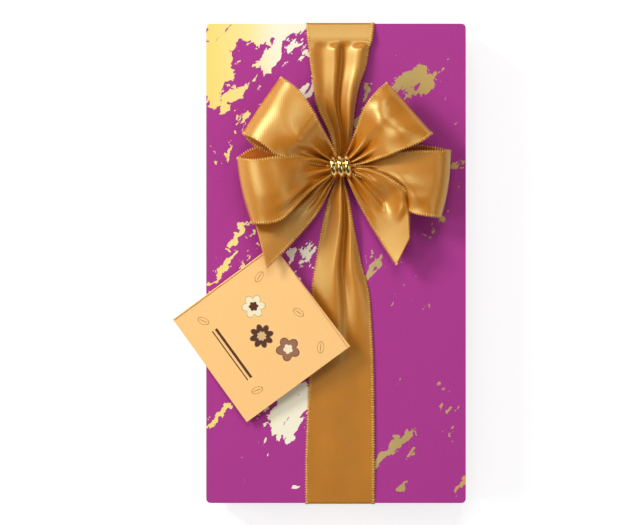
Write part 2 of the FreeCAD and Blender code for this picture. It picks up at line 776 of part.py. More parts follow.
def make_ribbon():
    """The ribbon along the lid, gathered under the bow; its frame is the bow's foot on the lid."""
    to_far = value("sizes.lid_length / 2 - sizes.bow_along")
    to_near = value("sizes.lid_length / 2 + sizes.bow_along")
    flat_end = value("sizes.flat_end")
    gather = value("sizes.gather_length")
    half_turn = FreeCAD.Rotation(UP, 180)
    far_run = gathered_run(to_far - flat_end, value("sizes.upper_ridge"), True)
    near_run = gathered_run(gather, value("sizes.lower_ridge"), False)
    near_run.Placement = FreeCAD.Placement(Vector(0, 0, 0), half_turn)
    far_end = end_wrap(flat_end)
    far_end.Placement = FreeCAD.Placement(Vector(0, to_far, 0), FreeCAD.Rotation())
    near_end = end_wrap(to_near - gather)
    near_end.Placement = FreeCAD.Placement(Vector(0, -to_near, 0), half_turn)
    band = far_run.fuse([near_run, far_end, near_end]).removeSplitter()
    return new_feature("ribbon_band", band)


def make_bow_middle():
    """The gathered plies in the middle of the bow: a waist that flares at both ends."""
    half = middle_half()
    waist = value("sizes.middle_radius")
    flare = value("sizes.middle_flare")
    inner = half - value("sizes.flare_length")
    points = [Vector(-half, 0, 0), Vector(-half, 0, flare), Vector(-inner, 0, waist),
              Vector(inner, 0, waist), Vector(half, 0, flare), Vector(half, 0, 0)]
    solid = Part.Face(closed_wire(points)).revolve(Vector(0, 0, 0), Vector(1, 0, 0), 360)
    solid.translate(UP * knot_height())
    return new_feature("bow_middle", solid)


def make_bow_tie():
    """One unbroken wire wound side by side round the middle, along arcs that follow a helix."""
    diameter = value("sizes.wire_diameter")
    pitch = value("sizes.wire_diameter + sizes.wire_gap")
    turns = int(value("sizes.wire_turns"))
    radius = value("sizes.middle_radius + sizes.seat_gap") + diameter / 2
    knot = UP * knot_height()

    def on_helix(turn):
        angle = 2 * math.pi * turn
        along = pitch * (turn - turns / 2)
        return Vector(along, radius * math.sin(angle), -radius * math.cos(angle)) + knot

    def direction(turn):
        angle = 2 * math.pi * turn
        return Vector(pitch / (2 * math.pi), radius * math.cos(angle), radius * math.sin(angle)).normalize()

    quarters = 4 * turns
    arcs = []
    for index in range(quarters):
        here = index / 4
        following = (index + 1) / 4
        arcs.extend(biarc(on_helix(here), direction(here), on_helix(following), direction(following)))
    spine = Part.Wire(arcs)
    sides = 6
    outward = (on_helix(0) - knot - Vector(on_helix(0).x, 0, 0)).normalize()
    beside = direction(0).cross(outward)
    corners = []
    for index in range(sides):
        angle = 2 * math.pi * index / sides
        across = outward * math.cos(angle) + beside * math.sin(angle)
        corners.append(on_helix(0) + across * (diameter / 2))
    ring = closed_wire(corners)
    solid = spine.makePipeShell([ring], True, False)
    per_turn = 48
    points = [on_helix(index / per_turn) for index in range(turns * per_turn + 1)]
    least = min((points[a] - points[b]).Length for a in range(len(points))
                for b in range(a + per_turn // 2, len(points)))
    print(f"bow_tie least gap to itself {least - diameter:.2f} mm")
    return new_feature("bow_tie", solid)


def biarc(start, start_way, stop, stop_way):
    """Two arcs that join two points and keep both directions."""
    span = stop - start
    both = start_way + stop_way
    bend = 2 * (1 - start_way.dot(stop_way))
    lean = span.dot(both)
    reach = (-lean + math.sqrt(lean * lean + bend * span.dot(span))) / bend
    first = start + start_way * reach
    last = stop - stop_way * reach
    joint = (first + last) * 0.5
    return [tangent_arc(start, first, joint), tangent_arc(joint, last, stop)]


def tangent_arc(start, corner, stop):
    """The arc from start to stop that touches the two equal lines through the corner."""
    middle = (start + stop) * 0.5
    outward = corner - middle
    half = (stop - start).Length / 2
    angle = math.atan2(outward.Length, half)
    crest = middle + outward.normalize() * (half * math.tan(angle / 2))
    return Part.Arc(start, crest, stop).toShape()


def tag_slope():
    """Rise of the tag per millimetre to the right: it leans on the lid's left edge and the ribbon."""
    lift = value("sizes.lower_ridge + sizes.ribbon_thickness + sizes.gathered_ridge * 0.4")
    reach = value("sizes.lid_width / 2 + sizes.ribbon_shift - sizes.ribbon_width / 5")
    return lift / reach


def tag_corner():
    """The tag's top corner, on the underside of the card, over the lid's top."""
    x = value("sizes.ribbon_shift + sizes.tag_from_bow_x")
    y = value("sizes.bow_along + sizes.tag_from_bow_y")
    height = value("sizes.tag_gap") + (x + value("sizes.lid_width") / 2) * tag_slope()
    return Vector(x, y, height)


def make_bow():
    lift = Vector(value("sizes.ribbon_shift"), value("sizes.bow_along"), value(LID_TOP))
    tag_top = tag_corner().z + value("2 * sizes.tag_leaf + sizes.tag_fold_gap + sizes.ribbon_thickness")
    left_tip = tag_top + value("sizes.left_tail_clearance")
    foot = value("sizes.tail_foot")
    right_start = knot_height() - 1
    pieces = [make_ribbon(), make_bow_middle(), make_bow_tie()]
    for name in ("upper_left", "left", "upper_right", "right"):
        pieces.append(new_feature(f"loop_{name}", ribbon_loop(name)))
    left = ribbon_tail("left_tail", foot + (left_tip - foot) * 0.25, left_tip, foot)
    right = ribbon_tail("right_tail", value("sizes.right_tail_crest"), value("sizes.right_tail_tip"), right_start)
    pieces.append(new_feature("tail_left", left))
    pieces.append(new_feature("tail_right", right))
    for piece in pieces:
        piece.Placement = FreeCAD.Placement(lift, FreeCAD.Rotation()) * piece.Placement


def tag_placement():
    corner = tag_corner()
    tilt = FreeCAD.Rotation(Vector(0, 1, 0), -math.degrees(math.atan(tag_slope())))
    turn = FreeCAD.Rotation(UP, value("sizes.tag_turn"))
    return FreeCAD.Placement(corner + UP * value(LID_TOP), tilt * turn)


def punch(body, height):
    """The round hole near the tag's top corner, through one leaf."""
    sketch = new_sketch(body, height=height)
    inward = value("sizes.hole_from_fold")
    down = value("sizes.hole_from_corner")
    hole = sketch.addGeometry(Part.Circle(Vector(inward, -down, 0), UP, value("sizes.tag_hole / 2")), False)
    dimension(sketch, Sketcher.Constraint("Radius", hole, value("sizes.tag_hole / 2")), "sizes.tag_hole / 2")
    dimension(sketch, Sketcher.Constraint("DistanceX", -1, 1, hole, 3, inward), cell("hole_from_fold"))
    dimension(sketch, Sketcher.Constraint("DistanceY", hole, 3, -1, 1, down), cell("hole_from_corner"))
    pocket(body, sketch, cell("tag_leaf"))


def make_tag_back():
    """The back leaf with the round of the fold along its left edge, folded a little askew."""
    body = new_body("tag_back_leaf")
    side = value("sizes.tag_side")
    skew = math.radians(value("sizes.tag_misfold"))
    sketch = new_sketch(body)
    reach = side * math.cos(skew)
    rise = side * math.sin(skew)
    first = polygon(sketch, [Vector(0, 0, 0), Vector(0, -side, 0), Vector(reach, rise - side, 0),
                             Vector(reach, rise, 0)])
    sketch.addConstraint(Sketcher.Constraint("Coincident", first, 1, -1, 1))
    sketch.addConstraint(Sketcher.Constraint("Vertical", first))
    sketch.addConstraint(Sketcher.Constraint("Vertical", first + 2))
    sketch.addConstraint(Sketcher.Constraint("Parallel", first + 1, first + 3))
    dimension(sketch, Sketcher.Constraint("Distance", first, 1, first, 2, side), cell("tag_side"))
    dimension(sketch, Sketcher.Constraint("DistanceX", first + 1, 1, first + 1, 2, reach),
              "sizes.tag_side * cos(sizes.tag_misfold * 1 deg)")
    dimension(sketch, Sketcher.Constraint("DistanceY", first + 1, 1, first + 1, 2, rise),
              "sizes.tag_side * sin(sizes.tag_misfold * 1 deg)")
    pad(body, sketch, cell("tag_leaf"))
    punch(body, cell("tag_leaf"))
    fold = new_sketch(body, role="XZ_Plane")
    radius = value("sizes.tag_leaf + sizes.tag_fold_gap / 2")
    circle = Part.Circle(Vector(0, radius, 0), UP, radius)
    arc = fold.addGeometry(Part.ArcOfCircle(circle, math.radians(90), math.radians(270)), False)
    line = fold.addGeometry(Part.LineSegment(Vector(0, 0, 0), Vector(0, 2 * radius, 0)), False)
    fold.addConstraint(Sketcher.Constraint("Coincident", arc, 2, line, 1))
    fold.addConstraint(Sketcher.Constraint("Coincident", arc, 1, line, 2))
    fold.addConstraint(Sketcher.Constraint("Coincident", line, 1, -1, 1))
    fold.addConstraint(Sketcher.Constraint("PointOnObject", line, 2, -2))
    fold.addConstraint(Sketcher.Constraint("PointOnObject", arc, 3, line))
    dimension(fold, Sketcher.Constraint("Radius", arc, radius), "sizes.tag_leaf + sizes.tag_fold_gap / 2")
    pad(body, fold, cell("tag_side"))
    body.Placement = tag_placement()


def make_tag_front():
    body = new_body("tag_front_leaf")
    side = value("sizes.tag_side")
    start = value("sizes.tag_start")
    level = "sizes.tag_leaf + sizes.tag_fold_gap"
    sketch = new_sketch(body, height=level)
    first = polygon(sketch, [Vector(start, 0, 0), Vector(start, -side, 0), Vector(side, -side, 0),
                             Vector(side, 0, 0)])
    for line in (first, first + 2):
        sketch.addConstraint(Sketcher.Constraint("Vertical", line))
        sketch.addConstraint(Sketcher.Constraint("Horizontal", line + 1))
    sketch.addConstraint(Sketcher.Constraint("PointOnObject", first, 1, -1))
    dimension(sketch, Sketcher.Constraint("DistanceX", -1, 1, first, 1, start), cell("tag_start"))
    dimension(sketch, Sketcher.Constraint("DistanceX", -1, 1, first + 2, 1, side), cell("tag_side"))
    dimension(sketch, Sketcher.Constraint("DistanceY", first, 2, first, 1, side), cell("tag_side"))
    pad(body, sketch, cell("tag_leaf"))
    punch(body, f"{level} + sizes.tag_leaf")
    body.Placement = tag_placement()


make_base_board()
make_base_paper()
make_bottom_sheet()
make_tray()
make_pralines()
make_lid_board()
make_lid_paper()
make_pad()
make_bow()
make_tag_back()
make_tag_front()
doc.recompute()

os.makedirs("parts", exist_ok=True)
for node in NODES:
    faults = [state for state in node.State if state in ("Invalid", "Error")]
    if faults or node.Shape.isNull() or not node.Shape.isValid():
        raise RuntimeError(f"{node.Label} did not build: {node.State}")
    if len(node.Shape.Solids) != 1:
        raise RuntimeError(f"{node.Label} has {len(node.Shape.Solids)} solids")
    node.Shape.exportStep(f"parts/{node.Label}.step")
print(f"{len(NODES)} nodes, lid top at {value(LID_TOP):.2f} mm, tag slope {tag_slope():.4f}")
placed = tag_placement()
fold_at = placed.multVec(Vector(0, 0, value("sizes.tag_leaf + sizes.tag_fold_gap / 2")))
hole_at = placed.multVec(Vector(value("sizes.hole_from_fold"), -value("sizes.hole_from_corner"), 0))
print("tag fold at", fold_at, "along", placed.Rotation.multVec(Vector(0, -1, 0)))
print("tag hole at", hole_at, "axis", placed.Rotation.multVec(UP))
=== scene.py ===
import bisect
from math import cos, dist, exp, pi, radians, sin, sqrt, tau

import bpy
from mathutils import Matrix, Vector


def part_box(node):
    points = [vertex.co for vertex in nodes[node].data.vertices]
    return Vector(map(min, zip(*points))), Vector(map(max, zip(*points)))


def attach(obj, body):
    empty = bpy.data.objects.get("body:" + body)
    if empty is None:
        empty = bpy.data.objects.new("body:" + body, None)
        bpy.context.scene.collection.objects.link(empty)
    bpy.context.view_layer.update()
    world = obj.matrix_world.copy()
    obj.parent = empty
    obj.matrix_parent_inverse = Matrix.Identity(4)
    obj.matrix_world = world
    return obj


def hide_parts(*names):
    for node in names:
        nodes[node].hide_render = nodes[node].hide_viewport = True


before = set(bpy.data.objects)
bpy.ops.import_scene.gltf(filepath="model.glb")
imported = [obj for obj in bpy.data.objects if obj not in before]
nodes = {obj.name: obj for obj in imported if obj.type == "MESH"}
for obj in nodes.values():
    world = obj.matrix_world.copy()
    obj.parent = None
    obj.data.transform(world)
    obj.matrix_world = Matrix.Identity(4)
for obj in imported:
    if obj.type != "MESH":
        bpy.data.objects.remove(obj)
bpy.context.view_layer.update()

# Lengths are in millimetres in the frame of the solids and become metres in each mesh.
MM = 0.001
LID_TOP = 27.3
BOW_Y = 35.4
BOW_FOOT = Vector((1.5, BOW_Y, LID_TOP))
KNOT = BOW_FOOT + Vector((0, 0, 6.0))
RIBBON_WIDTH = 25.0
RIBBON_THICKNESS = 0.28
UP = Vector((0, 0, 1))


def colour(code):
    """Linear colour from an sRGB hex code."""
    channels = [int(code[place:place + 2], 16) / 255 for place in (1, 3, 5)]
    linear = [c / 12.92 if c <= 0.04045 else ((c + 0.055) / 1.055) ** 2.4 for c in channels]
    return (*linear, 1.0)


def add(owner, kind, inputs=None, **settings):
    """Adds a node to the tree its owner is in, sets its properties, and links or sets its sockets."""
    tree = owner.id_data
    node = tree.nodes.new("ShaderNode" + kind)
    for name, setting in settings.items():
        setattr(node, name, setting)
    for name, source in (inputs or {}).items():
        if isinstance(source, bpy.types.NodeSocket):
            tree.links.new(source, node.inputs[name])
        else:
            node.inputs[name].default_value = source
    return node


def linked(kind, inputs, **settings):
    """Adds a node to the tree that the first of its linked sources is in."""
    source = next(source for source in inputs.values() if isinstance(source, bpy.types.NodeSocket))
    return add(source, kind, inputs, **settings)


def new_material(name, **sockets):
    """A Principled material with its constant sockets set; returns it with its shader."""
    material = bpy.data.materials.new(name)
    material.use_nodes = True
    shader = material.node_tree.nodes["Principled BSDF"]
    for socket, setting in sockets.items():
        shader.inputs[socket.replace("_", " ")].default_value = setting
    return material, shader


def ramp_of(source, stops):
    """A colour ramp over (place, hex code) stops."""
    node = linked("ValToRGB", {"Fac": source})
    elements = node.color_ramp.elements
    while len(elements) < len(stops):
        elements.new(0.5)
    for element, (place, code) in zip(elements, stops):
        element.position = place
        element.color = colour(code)
    return node.outputs["Color"]


def maths(operation, *sources):
    """Result of an operation on its sources in order."""
    return linked("Math", dict(enumerate(sources)), operation=operation).outputs["Value"]


def vectors(operation, *sources):
    return linked("VectorMath", dict(enumerate(sources)), operation=operation).outputs["Vector"]


def length_of(vector):
    return linked("VectorMath", {0: vector}, operation="LENGTH").outputs["Value"]


def axis_of(vector, axis):
    return linked("SeparateXYZ", {"Vector": vector}).outputs[axis]


def mapped(source, start, end, low=0.0, high=1.0, **settings):
    """A value that runs from low at start to high at end, and no further."""
    bounds = {"Value": source, "From Min": start, "From Max": end, "To Min": low, "To Max": high}
    return linked("MapRange", bounds, **settings).outputs["Result"]


def blend(share, under, over):
    """Colour between two others."""
    return linked("Mix", {"Factor": share, "A": under, "B": over}, data_type="RGBA").outputs[2]


def own_place(shader):
    """Place in the frame of the piece, in metres."""
    return add(shader, "TexCoord").outputs["Object"]


def noise(where, scale, detail, **more):
    inputs = {"Vector": where, "Scale": scale, "Detail": detail}
    return linked("TexNoise", inputs | more).outputs["Fac"]


def placed(where, **settings):
    """Place seen from a shifted, turned and scaled frame."""
    inputs = {"Vector": where} | settings
    return linked("Mapping", inputs, vector_type="TEXTURE").outputs["Vector"]


def feed(shader, **sources):
    """Links the shader's sockets to their sources."""
    for socket, source in sources.items():
        shader.id_data.links.new(source, shader.inputs[socket.replace("_", " ")])


def emboss(shader, height, strength, depth):
    """Gives a surface a relief of a depth in millimetres."""
    relief = linked("Bump", {"Height": height, "Strength": strength, "Distance": depth * MM})
    feed(shader, Normal=relief.outputs["Normal"])


def grained(name, scale, detail, stops, coarseness=0.5, relief=None, **sockets):
    """A material toned by its grain, which may stand in relief by (strength, depth)."""
    material, shader = new_material(name, **sockets)
    grain = noise(own_place(shader), scale, detail, Roughness=coarseness)
    feed(shader, Base_Color=ramp_of(grain, stops))
    if relief:
        emboss(shader, grain, *relief)
    return material


def seen_directly(tree):
    """1 for what the camera sees, also in a reflection or through a surface, and 0 for light."""
    path = add(tree, "LightPath").outputs
    seen = maths("MAXIMUM", path["Is Camera Ray"], path["Is Glossy Ray"])
    return maths("MAXIMUM", seen, path["Is Transmission Ray"])


def wear(material, *node_names):
    """Dresses solids in a material."""
    for node_name in node_names:
        slots = nodes[node_name].data.materials
        slots.clear()
        slots.append(material)


def through(points, place):
    """Smooth value at a place along (place, value) pairs."""
    if place <= points[0][0]:
        return points[0][1]
    if place >= points[-1][0]:
        return points[-1][1]
    index = 0
    while points[index + 1][0] < place:
        index += 1
    (start, low), (end, high) = points[index], points[index + 1]
    before = points[max(index - 1, 0)]
    after = points[min(index + 2, len(points) - 1)]
    span = end - start
    slope_in = (high - before[1]) / (end - before[0]) * span
    slope_out = (after[1] - low) / (after[0] - start) * span
    t = (place - start) / span
    return ((2 * t ** 3 - 3 * t ** 2 + 1) * low + (t ** 3 - 2 * t ** 2 + t) * slope_in
            + (3 * t ** 2 - 2 * t ** 3) * high + (t ** 3 - t ** 2) * slope_out)


def ease(start, end, place):
    """Rises smoothly from 0 at start to 1 at end."""
    t = min(max((place - start) / (end - start), 0.0), 1.0)
    return t * t * (3 - 2 * t)


def swollen(swells, across, along):
    """Height of smooth swells, each (across, along, spread across, spread along, height)."""
    return sum(height * exp(-((across - middle) / width) ** 2 - ((along - start) / reach) ** 2)
               for middle, start, width, reach, height in swells)


def new_object(name, data):
    """An object in the scene."""
    thing = bpy.data.objects.new(name, data)
    bpy.context.scene.collection.objects.link(thing)
    return thing


def new_piece(name, points, faces, material):
    """A mesh piece from points in millimetres."""
    mesh = bpy.data.meshes.new(name)
    mesh.from_pydata([point * MM for point in points], [], faces)
    mesh.materials.append(material)
    mesh.update()
    mesh.shade_smooth()
    return new_object(name, mesh)


def activate(piece):
    """Selects one piece alone and makes it the active one."""
    bpy.ops.object.select_all(action="DESELECT")
    piece.select_set(True)
    bpy.context.view_layer.objects.active = piece


def edit_whole(piece, operation, **settings):
    """Runs a mesh operation on all of a piece."""
    activate(piece)
    bpy.ops.object.mode_set(mode="EDIT")
    bpy.ops.mesh.select_all(action="SELECT")
    operation(**settings)
    bpy.ops.object.mode_set(mode="OBJECT")


def apply_modifiers(piece):
    activate(piece)
    for modifier in list(piece.modifiers):
        bpy.ops.object.modifier_apply(modifier=modifier.name)


def tube(name, path, thickness, fineness, material):
    """A round strand along points in metres; fineness sets its steps along and around."""
    curve = bpy.data.curves.new(name, "CURVE")
    curve.dimensions = "3D"
    spline = curve.splines.new("NURBS")
    spline.points.add(len(path) - 1)
    for point, spot in zip(spline.points, path):
        point.co = (*spot, 1)
    spline.order_u = 3
    spline.use_endpoint_u = True
    spline.resolution_u = fineness
    curve.bevel_depth = thickness / 2 * MM
    curve.bevel_resolution = fineness
    curve.use_fill_caps = True
    curve.materials.append(material)
    piece = new_object(name, curve)
    activate(piece)
    bpy.ops.object.convert(target="MESH")
    piece = bpy.context.view_layer.objects.active
    piece.name = name
    bpy.ops.object.shade_smooth()
    return piece


# Materials.

def satin_material():
    """Polyester satin ribbon: its floats run along the ribbon, so the gloss is narrow along it and
    wide across it, and a fine twill line shows. The real lines are 0.3 mm apart; they are drawn at
    0.8 mm so that they show."""
    material, shader = new_material(
        "polyester_satin_gold", Roughness=0.38, Anisotropic=0.5, IOR=1.75, Specular_IOR_Level=1.0,
        Specular_Tint=colour("#fbffb0"), Subsurface_Weight=0.3, Subsurface_Scale=1.0 * MM,
        Subsurface_Radius=(1.0, 0.3, 0.05))
    line_spacing = 0.8
    line_turn = radians(-55)
    wave_length = 0.314
    place = add(shader, "UVMap", uv_map="across_along").outputs["UV"]
    turned = linked("Mapping", {"Vector": place, "Rotation": (0, 0, line_turn)})
    lines = linked("TexWave", {"Vector": turned.outputs["Vector"], "Scale": wave_length / line_spacing,
                               "Distortion": 0.5, "Detail": 1.0, "Detail Scale": 2.0}).outputs["Fac"]
    cloud = noise(place, 0.05, 2.0)
    dark = ramp_of(cloud, [(0.35, "#b86803"), (0.65, "#c06e05")])
    pale = ramp_of(cloud, [(0.35, "#c37308"), (0.65, "#cb780a")])
    feed(shader, Base_Color=blend(lines, dark, pale))
    emboss(shader, lines, 0.12, 0.1)
    tangent = add(shader, "Tangent", direction_type="UV_MAP", uv_map="across_along")
    feed(shader, Tangent=tangent.outputs["Tangent"])
    return material


def satin_back_material():
    """The dull reverse of single-face satin: deeper in colour, with little gloss."""
    material, shader = new_material("polyester_satin_reverse", Roughness=0.65, Specular_IOR_Level=0.3)
    place = add(shader, "UVMap", uv_map="across_along").outputs["UV"]
    feed(shader, Base_Color=ramp_of(noise(place, 1.4, 2.0), [(0.3, "#bf6110"), (0.7, "#c86a14")]))
    return material


def picot_material():
    """Twisted polyester selvedge stitches: paler and duller than the satin."""
    return grained("polyester_picot_gold", 900.0, 2.0, [(0.3, "#c98425"), (0.65, "#edbc62")], Roughness=0.5)


FOIL_SPLASHES = [
    # Centre x and y, half-length along the stroke and half-width across it, turn, weight.
    (-43, 71, 19, 8, 82, 0.42), (-30, 87, 24, 8.0, 4, 0.46),
    (-24, 76, 11, 3.6, 57, 0.38), (-14, 78, 10, 5.5, 57, 0.28),
    (-36, 62, 12, 2.8, 36, 0.34), (-35, 51, 8, 3.0, 62, 0.2),
    (-9.5, 63, 6.5, 3.4, 66, 0.34), (-40.5, 40, 8, 1.3, 42, 0.26),
    (-36, 10.5, 8, 1.4, 48, 0.38), (-41.7, -3.5, 11, 1.6, 54, 0.36),
    (-33, 2, 5, 2.0, 60, 0.2), (-13, 1, 12, 5.5, 64, 0.2),
    (-14.6, 4, 4, 2.2, 60, 0.32), (-41, -55, 9, 1.8, 43, 0.36),
    (-17.6, -54, 13.5, 8.5, 64, 0.42), (-15, -82.6, 2.2, 1.2, 45, 0.36),
    (29, 66, 9, 6.5, 12, 0.4), (38, 71, 7, 1.3, 36, 0.28),
    (10, 63, 6, 1.9, 74, 0.32), (8, 53, 6, 2.2, 62, 0.34),
    (44.6, 35.6, 5, 1.5, 40, 0.34), (36, 14, 6, 3.5, 60, 0.2),
    (13.2, -1.4, 6, 1.9, 66, 0.36), (22, -10, 8, 4, 62, 0.18),
    (33.3, -16.7, 5, 1.2, 60, 0.27), (40, -50, 12, 3, 100, 0.17),
    (20.5, -68, 11, 2.6, 45, 0.36), (28, -69, 4, 1.5, 62, 0.27),
    (23.6, -81, 4, 1.8, 50, 0.26), (45.5, -81.5, 5, 1.6, 62, 0.34),
]


def foil_paper_material():
    """Art paper printed magenta-purple and hot-stamped with gold foil in brushed splashes.
    The foil is painted bright on the left and duller on the right: a painted reflection of the light from the
    left."""
    material, shader = new_material("foil_stamped_art_paper", Specular_IOR_Level=0.15)
    where = own_place(shader)
    # Ragged strokes: a noise shakes the place by up to 5.5 mm before the splashes are drawn.
    shaking = 11 * MM
    shake = linked("TexNoise", {"Vector": where, "Scale": 170.0, "Detail": 3.0, "Roughness": 0.6})
    moved = vectors("SUBTRACT", shake.outputs["Color"], (0.5, 0.5, 0.5))
    shaken = vectors("MULTIPLY_ADD", moved, (shaking, shaking, 0.0), where)
    # How much foil the splashes lay at a place, and how far off the nearest one is in its own sizes.
    splash_height = 30
    faded, full = 1.15, 0.5
    amount = 0.0
    nearest = 1000.0
    for x, y, along, across, turn, weight in FOIL_SPLASHES:
        spot = placed(shaken, Location=(x * MM, y * MM, LID_TOP * MM), Rotation=(0, 0, radians(turn)),
                      Scale=(along * MM, across * MM, splash_height * MM))
        far = length_of(spot)
        near = mapped(far, faded, full, 0.0, weight, interpolation_type="SMOOTHSTEP")
        amount = maths("MAXIMUM", amount, near)
        nearest = maths("MINIMUM", nearest, far)
    # Gaps and flecks about 7 by 3 mm, drawn out along the strokes.
    strokes = placed(where, Rotation=(0, 0, radians(50)), Scale=(7 * MM, 3 * MM, 5 * MM))
    ragged = noise(strokes, 1.0, 5.0, Roughness=0.55, Distortion=0.4)
    splash = mapped(maths("ADD", ragged, amount), 0.735, 0.75)
    # Drops up to 0.7 mm in radius, one to a cell of 2.2 mm, thrown round each splash.
    cell, drop = 2.2, 0.32
    cells = linked("TexVoronoi", {"Vector": shaken, "Scale": 1 / (cell * MM)})
    chance = linked("SeparateColor", {"Color": cells.outputs["Color"]}).outputs["Red"]
    halo = mapped(nearest, 2.4, 1.1, 0.0, drop)
    size = mapped(chance, 0.62, 1.0, 0.0, halo)
    drops = maths("LESS_THAN", cells.outputs["Distance"], size)
    mask = maths("MAXIMUM", splash, drops)
    # The foil's tone follows the place across the lid, from its left side to its right: a painted reflection,
    # cream and pale yellow on the left and dull gold on the right.
    half_width = 47.5 * MM
    side = mapped(axis_of(where, "X"), -half_width, half_width)
    foil_with_painted_sheen = ramp_of(side, [(0.0, "#fddf78"), (0.16, "#feea9c"), (0.27, "#fff8dc"), (0.48, "#fff6dc"),
                          (0.58, "#cdb47c"), (0.75, "#bfa566"), (1.0, "#d0aa62")])
    fibre = noise(where, 1600.0, 2.0)
    purple = ramp_of(fibre, [(0.3, "#aa368b"), (0.7, "#ad398e")])
    paper_roughness, foil_roughness = 0.55, 0.3
    feed(shader, Base_Color=blend(mask, purple, foil_with_painted_sheen), Metallic=maths("MULTIPLY", mask, 0.08),
         Roughness=mapped(mask, 0.0, 1.0, paper_roughness, foil_roughness))
    emboss(shader, maths("SUBTRACT", fibre, mask), 0.06, 0.05)
    return material


def plain_paper_material():
    """The same art paper with no foil, on the base."""
    return grained("dyed_art_paper_purple", 700.0, 4.0, [(0.3, "#8f2c74"), (0.7, "#9c3480")],
                   relief=(0.15, 0.05), Roughness=0.55)


def greyboard_material():
    """Recycled greyboard: short fibres and dark flecks in a grey-buff sheet."""
    return grained("recycled_greyboard", 450.0, 5.0, [(0.3, "#8f887c"), (0.6, "#a9a193"), (0.8, "#b8b1a3")],
                   coarseness=0.7, relief=(0.3, 0.1), Roughness=0.9)


def tray_material():
    """Vacuum-formed gold polystyrene film: glossy, with a faint pull in the metal layer."""
    return grained("metallised_polystyrene_gold", 60.0, 2.0, [(0.3, "#c79a45"), (0.7, "#dcb768")],
                   Metallic=0.7, Roughness=0.3)


def wire_material():
    """Drawn gold-anodised wire: mirror-bright with faint draw lines."""
    material, shader = new_material("gold_plated_wire", Metallic=1.0)
    grain = noise(own_place(shader), 1500.0, 2.0)
    feed(shader, Base_Color=ramp_of(grain, [(0.3, "#e0bb6a"), (0.7, "#f2d68e")]),
         Roughness=mapped(grain, 0.0, 1.0, 0.1, 0.2))
    return material


TAG_MIDDLE = Vector((-27.75, -25.75))
TAG_TURN = -53.8


def flower_bound(spot, petals, inner, outer):
    """How far inside a flower outline each place lies, in units of the spot's size; spot is the place
    from its middle."""
    angle = maths("ARCTAN2", axis_of(spot, "Y"), axis_of(spot, "X"))
    wave = maths("COSINE", maths("MULTIPLY", angle, petals / 2))
    edge = maths("MULTIPLY_ADD", maths("ABSOLUTE", wave), outer - inner, inner)
    flat = vectors("MULTIPLY", spot, (1, 1, 0))
    return maths("SUBTRACT", edge, length_of(flat))


def card_material(name, printed):
    """Uncoated peach card with a fine tooth; the front leaf carries a plain printed ornament."""
    material, shader = new_material(name, Roughness=0.75, Specular_IOR_Level=0.25)
    place = add(shader, "TexCoord")
    tooth = noise(place.outputs["Object"], 1500.0, 2.0)
    tone = ramp_of(tooth, [(0.3, "#f6c27c"), (0.7, "#f8c681")])
    if printed:
        tone = tag_print(place, tone)
    feed(shader, Base_Color=tone)
    emboss(shader, tooth, 0.06, 0.05)
    return material


def tag_print(place, card):
    """Three small flowers in browns and cream, seeds near the edges and a double rule down one side,
    on the outer face only."""
    outer_face = maths("GREATER_THAN", axis_of(place.outputs["Normal"], "Z"), 0.5)
    far_in = 90
    seed_ink, rule_ink = "#a87637", "#5a3524"

    def spot_at(shift, turn, size=(1, 1)):
        """Place from a spot of the tag, in units of a size in millimetres; shift and turn follow the tag."""
        tilt = radians(TAG_TURN)
        middle = TAG_MIDDLE + Matrix.Rotation(tilt, 2) @ Vector(shift)
        return placed(place.outputs["Object"], Location=(middle.x * MM, middle.y * MM, 0),
                      Rotation=(0, 0, tilt + radians(turn)), Scale=(size[0] * MM, size[1] * MM, MM))

    def ink(under, depth, limit, code):
        """Prints a colour inside an outline, down to a limit of depth."""
        above = maths("GREATER_THAN", depth, 0.0)
        below = maths("LESS_THAN", depth, limit)
        shown = maths("MULTIPLY", maths("MULTIPLY", above, below), outer_face)
        return blend(shown, under, colour(code))

    tone = card
    flowers = (
        # Shift from the middle, petals, and the colours of petals, their outline and the heart.
        ((-9.5, 4.0), 6, "#f0e2bd", "#c9a86a", "#5a3222"),
        ((1.0, 0.0), 8, "#553325", "#7b5040", "#d9b07a"),
        ((10.5, 5.0), 5, "#9a6a50", "#6d4434", "#f0e2bd"),
    )
    for shift, petals, fill, line, heart in flowers:
        spot = spot_at(shift, 20 * petals)
        depth = flower_bound(spot, petals, 3.0, 4.5)
        tone = ink(tone, depth, far_in, fill)
        tone = ink(tone, depth, 0.35, line)
        tone = ink(tone, flower_bound(spot, petals, 1.3, 1.8), far_in, heart)
    # Shift from the middle and turn of each seed: an outline and a seam down its length.
    seeds = (((-16, -14), 30), ((16, -13), 75), ((-17, 12), 110), ((2, 16), 20), ((17, 15), 140))
    for shift, turn in seeds:
        depth = flower_bound(spot_at(shift, turn, (2.2, 1.25)), 2, 1.0, 1.0)
        tone = ink(tone, depth, 0.13, seed_ink)
        seam = flower_bound(spot_at(shift, turn, (1.6, 0.14)), 2, 1.0, 1.0)
        tone = ink(tone, seam, far_in, seed_ink)
    # Place of each rule down the tag, and half its thickness.
    half_length = 11.0
    for inset, half_thickness in ((-12.0, 0.5), (-13.6, 0.22)):
        rule = vectors("ABSOLUTE", spot_at((0, inset), 0, (half_length, half_thickness)))
        reach = maths("MAXIMUM", axis_of(rule, "X"), axis_of(rule, "Y"))
        tone = ink(tone, maths("SUBTRACT", 1.0, reach), far_in, rule_ink)
    return tone


SATIN = satin_material()
SATIN_BACK = satin_back_material()
PICOT = picot_material()
GOLD_WIRE = wire_material()

wear(foil_paper_material(), "lid_cover_paper")
wear(plain_paper_material(), "base_cover_paper", "base_bottom_sheet")
wear(greyboard_material(), "lid_board", "base_board")
wear(tray_material(), "insert_tray")
wear(card_material("uncoated_card_peach", False), "tag_back_leaf")
wear(card_material("printed_card_peach", True), "tag_front_leaf")


# Ribbon sheets.

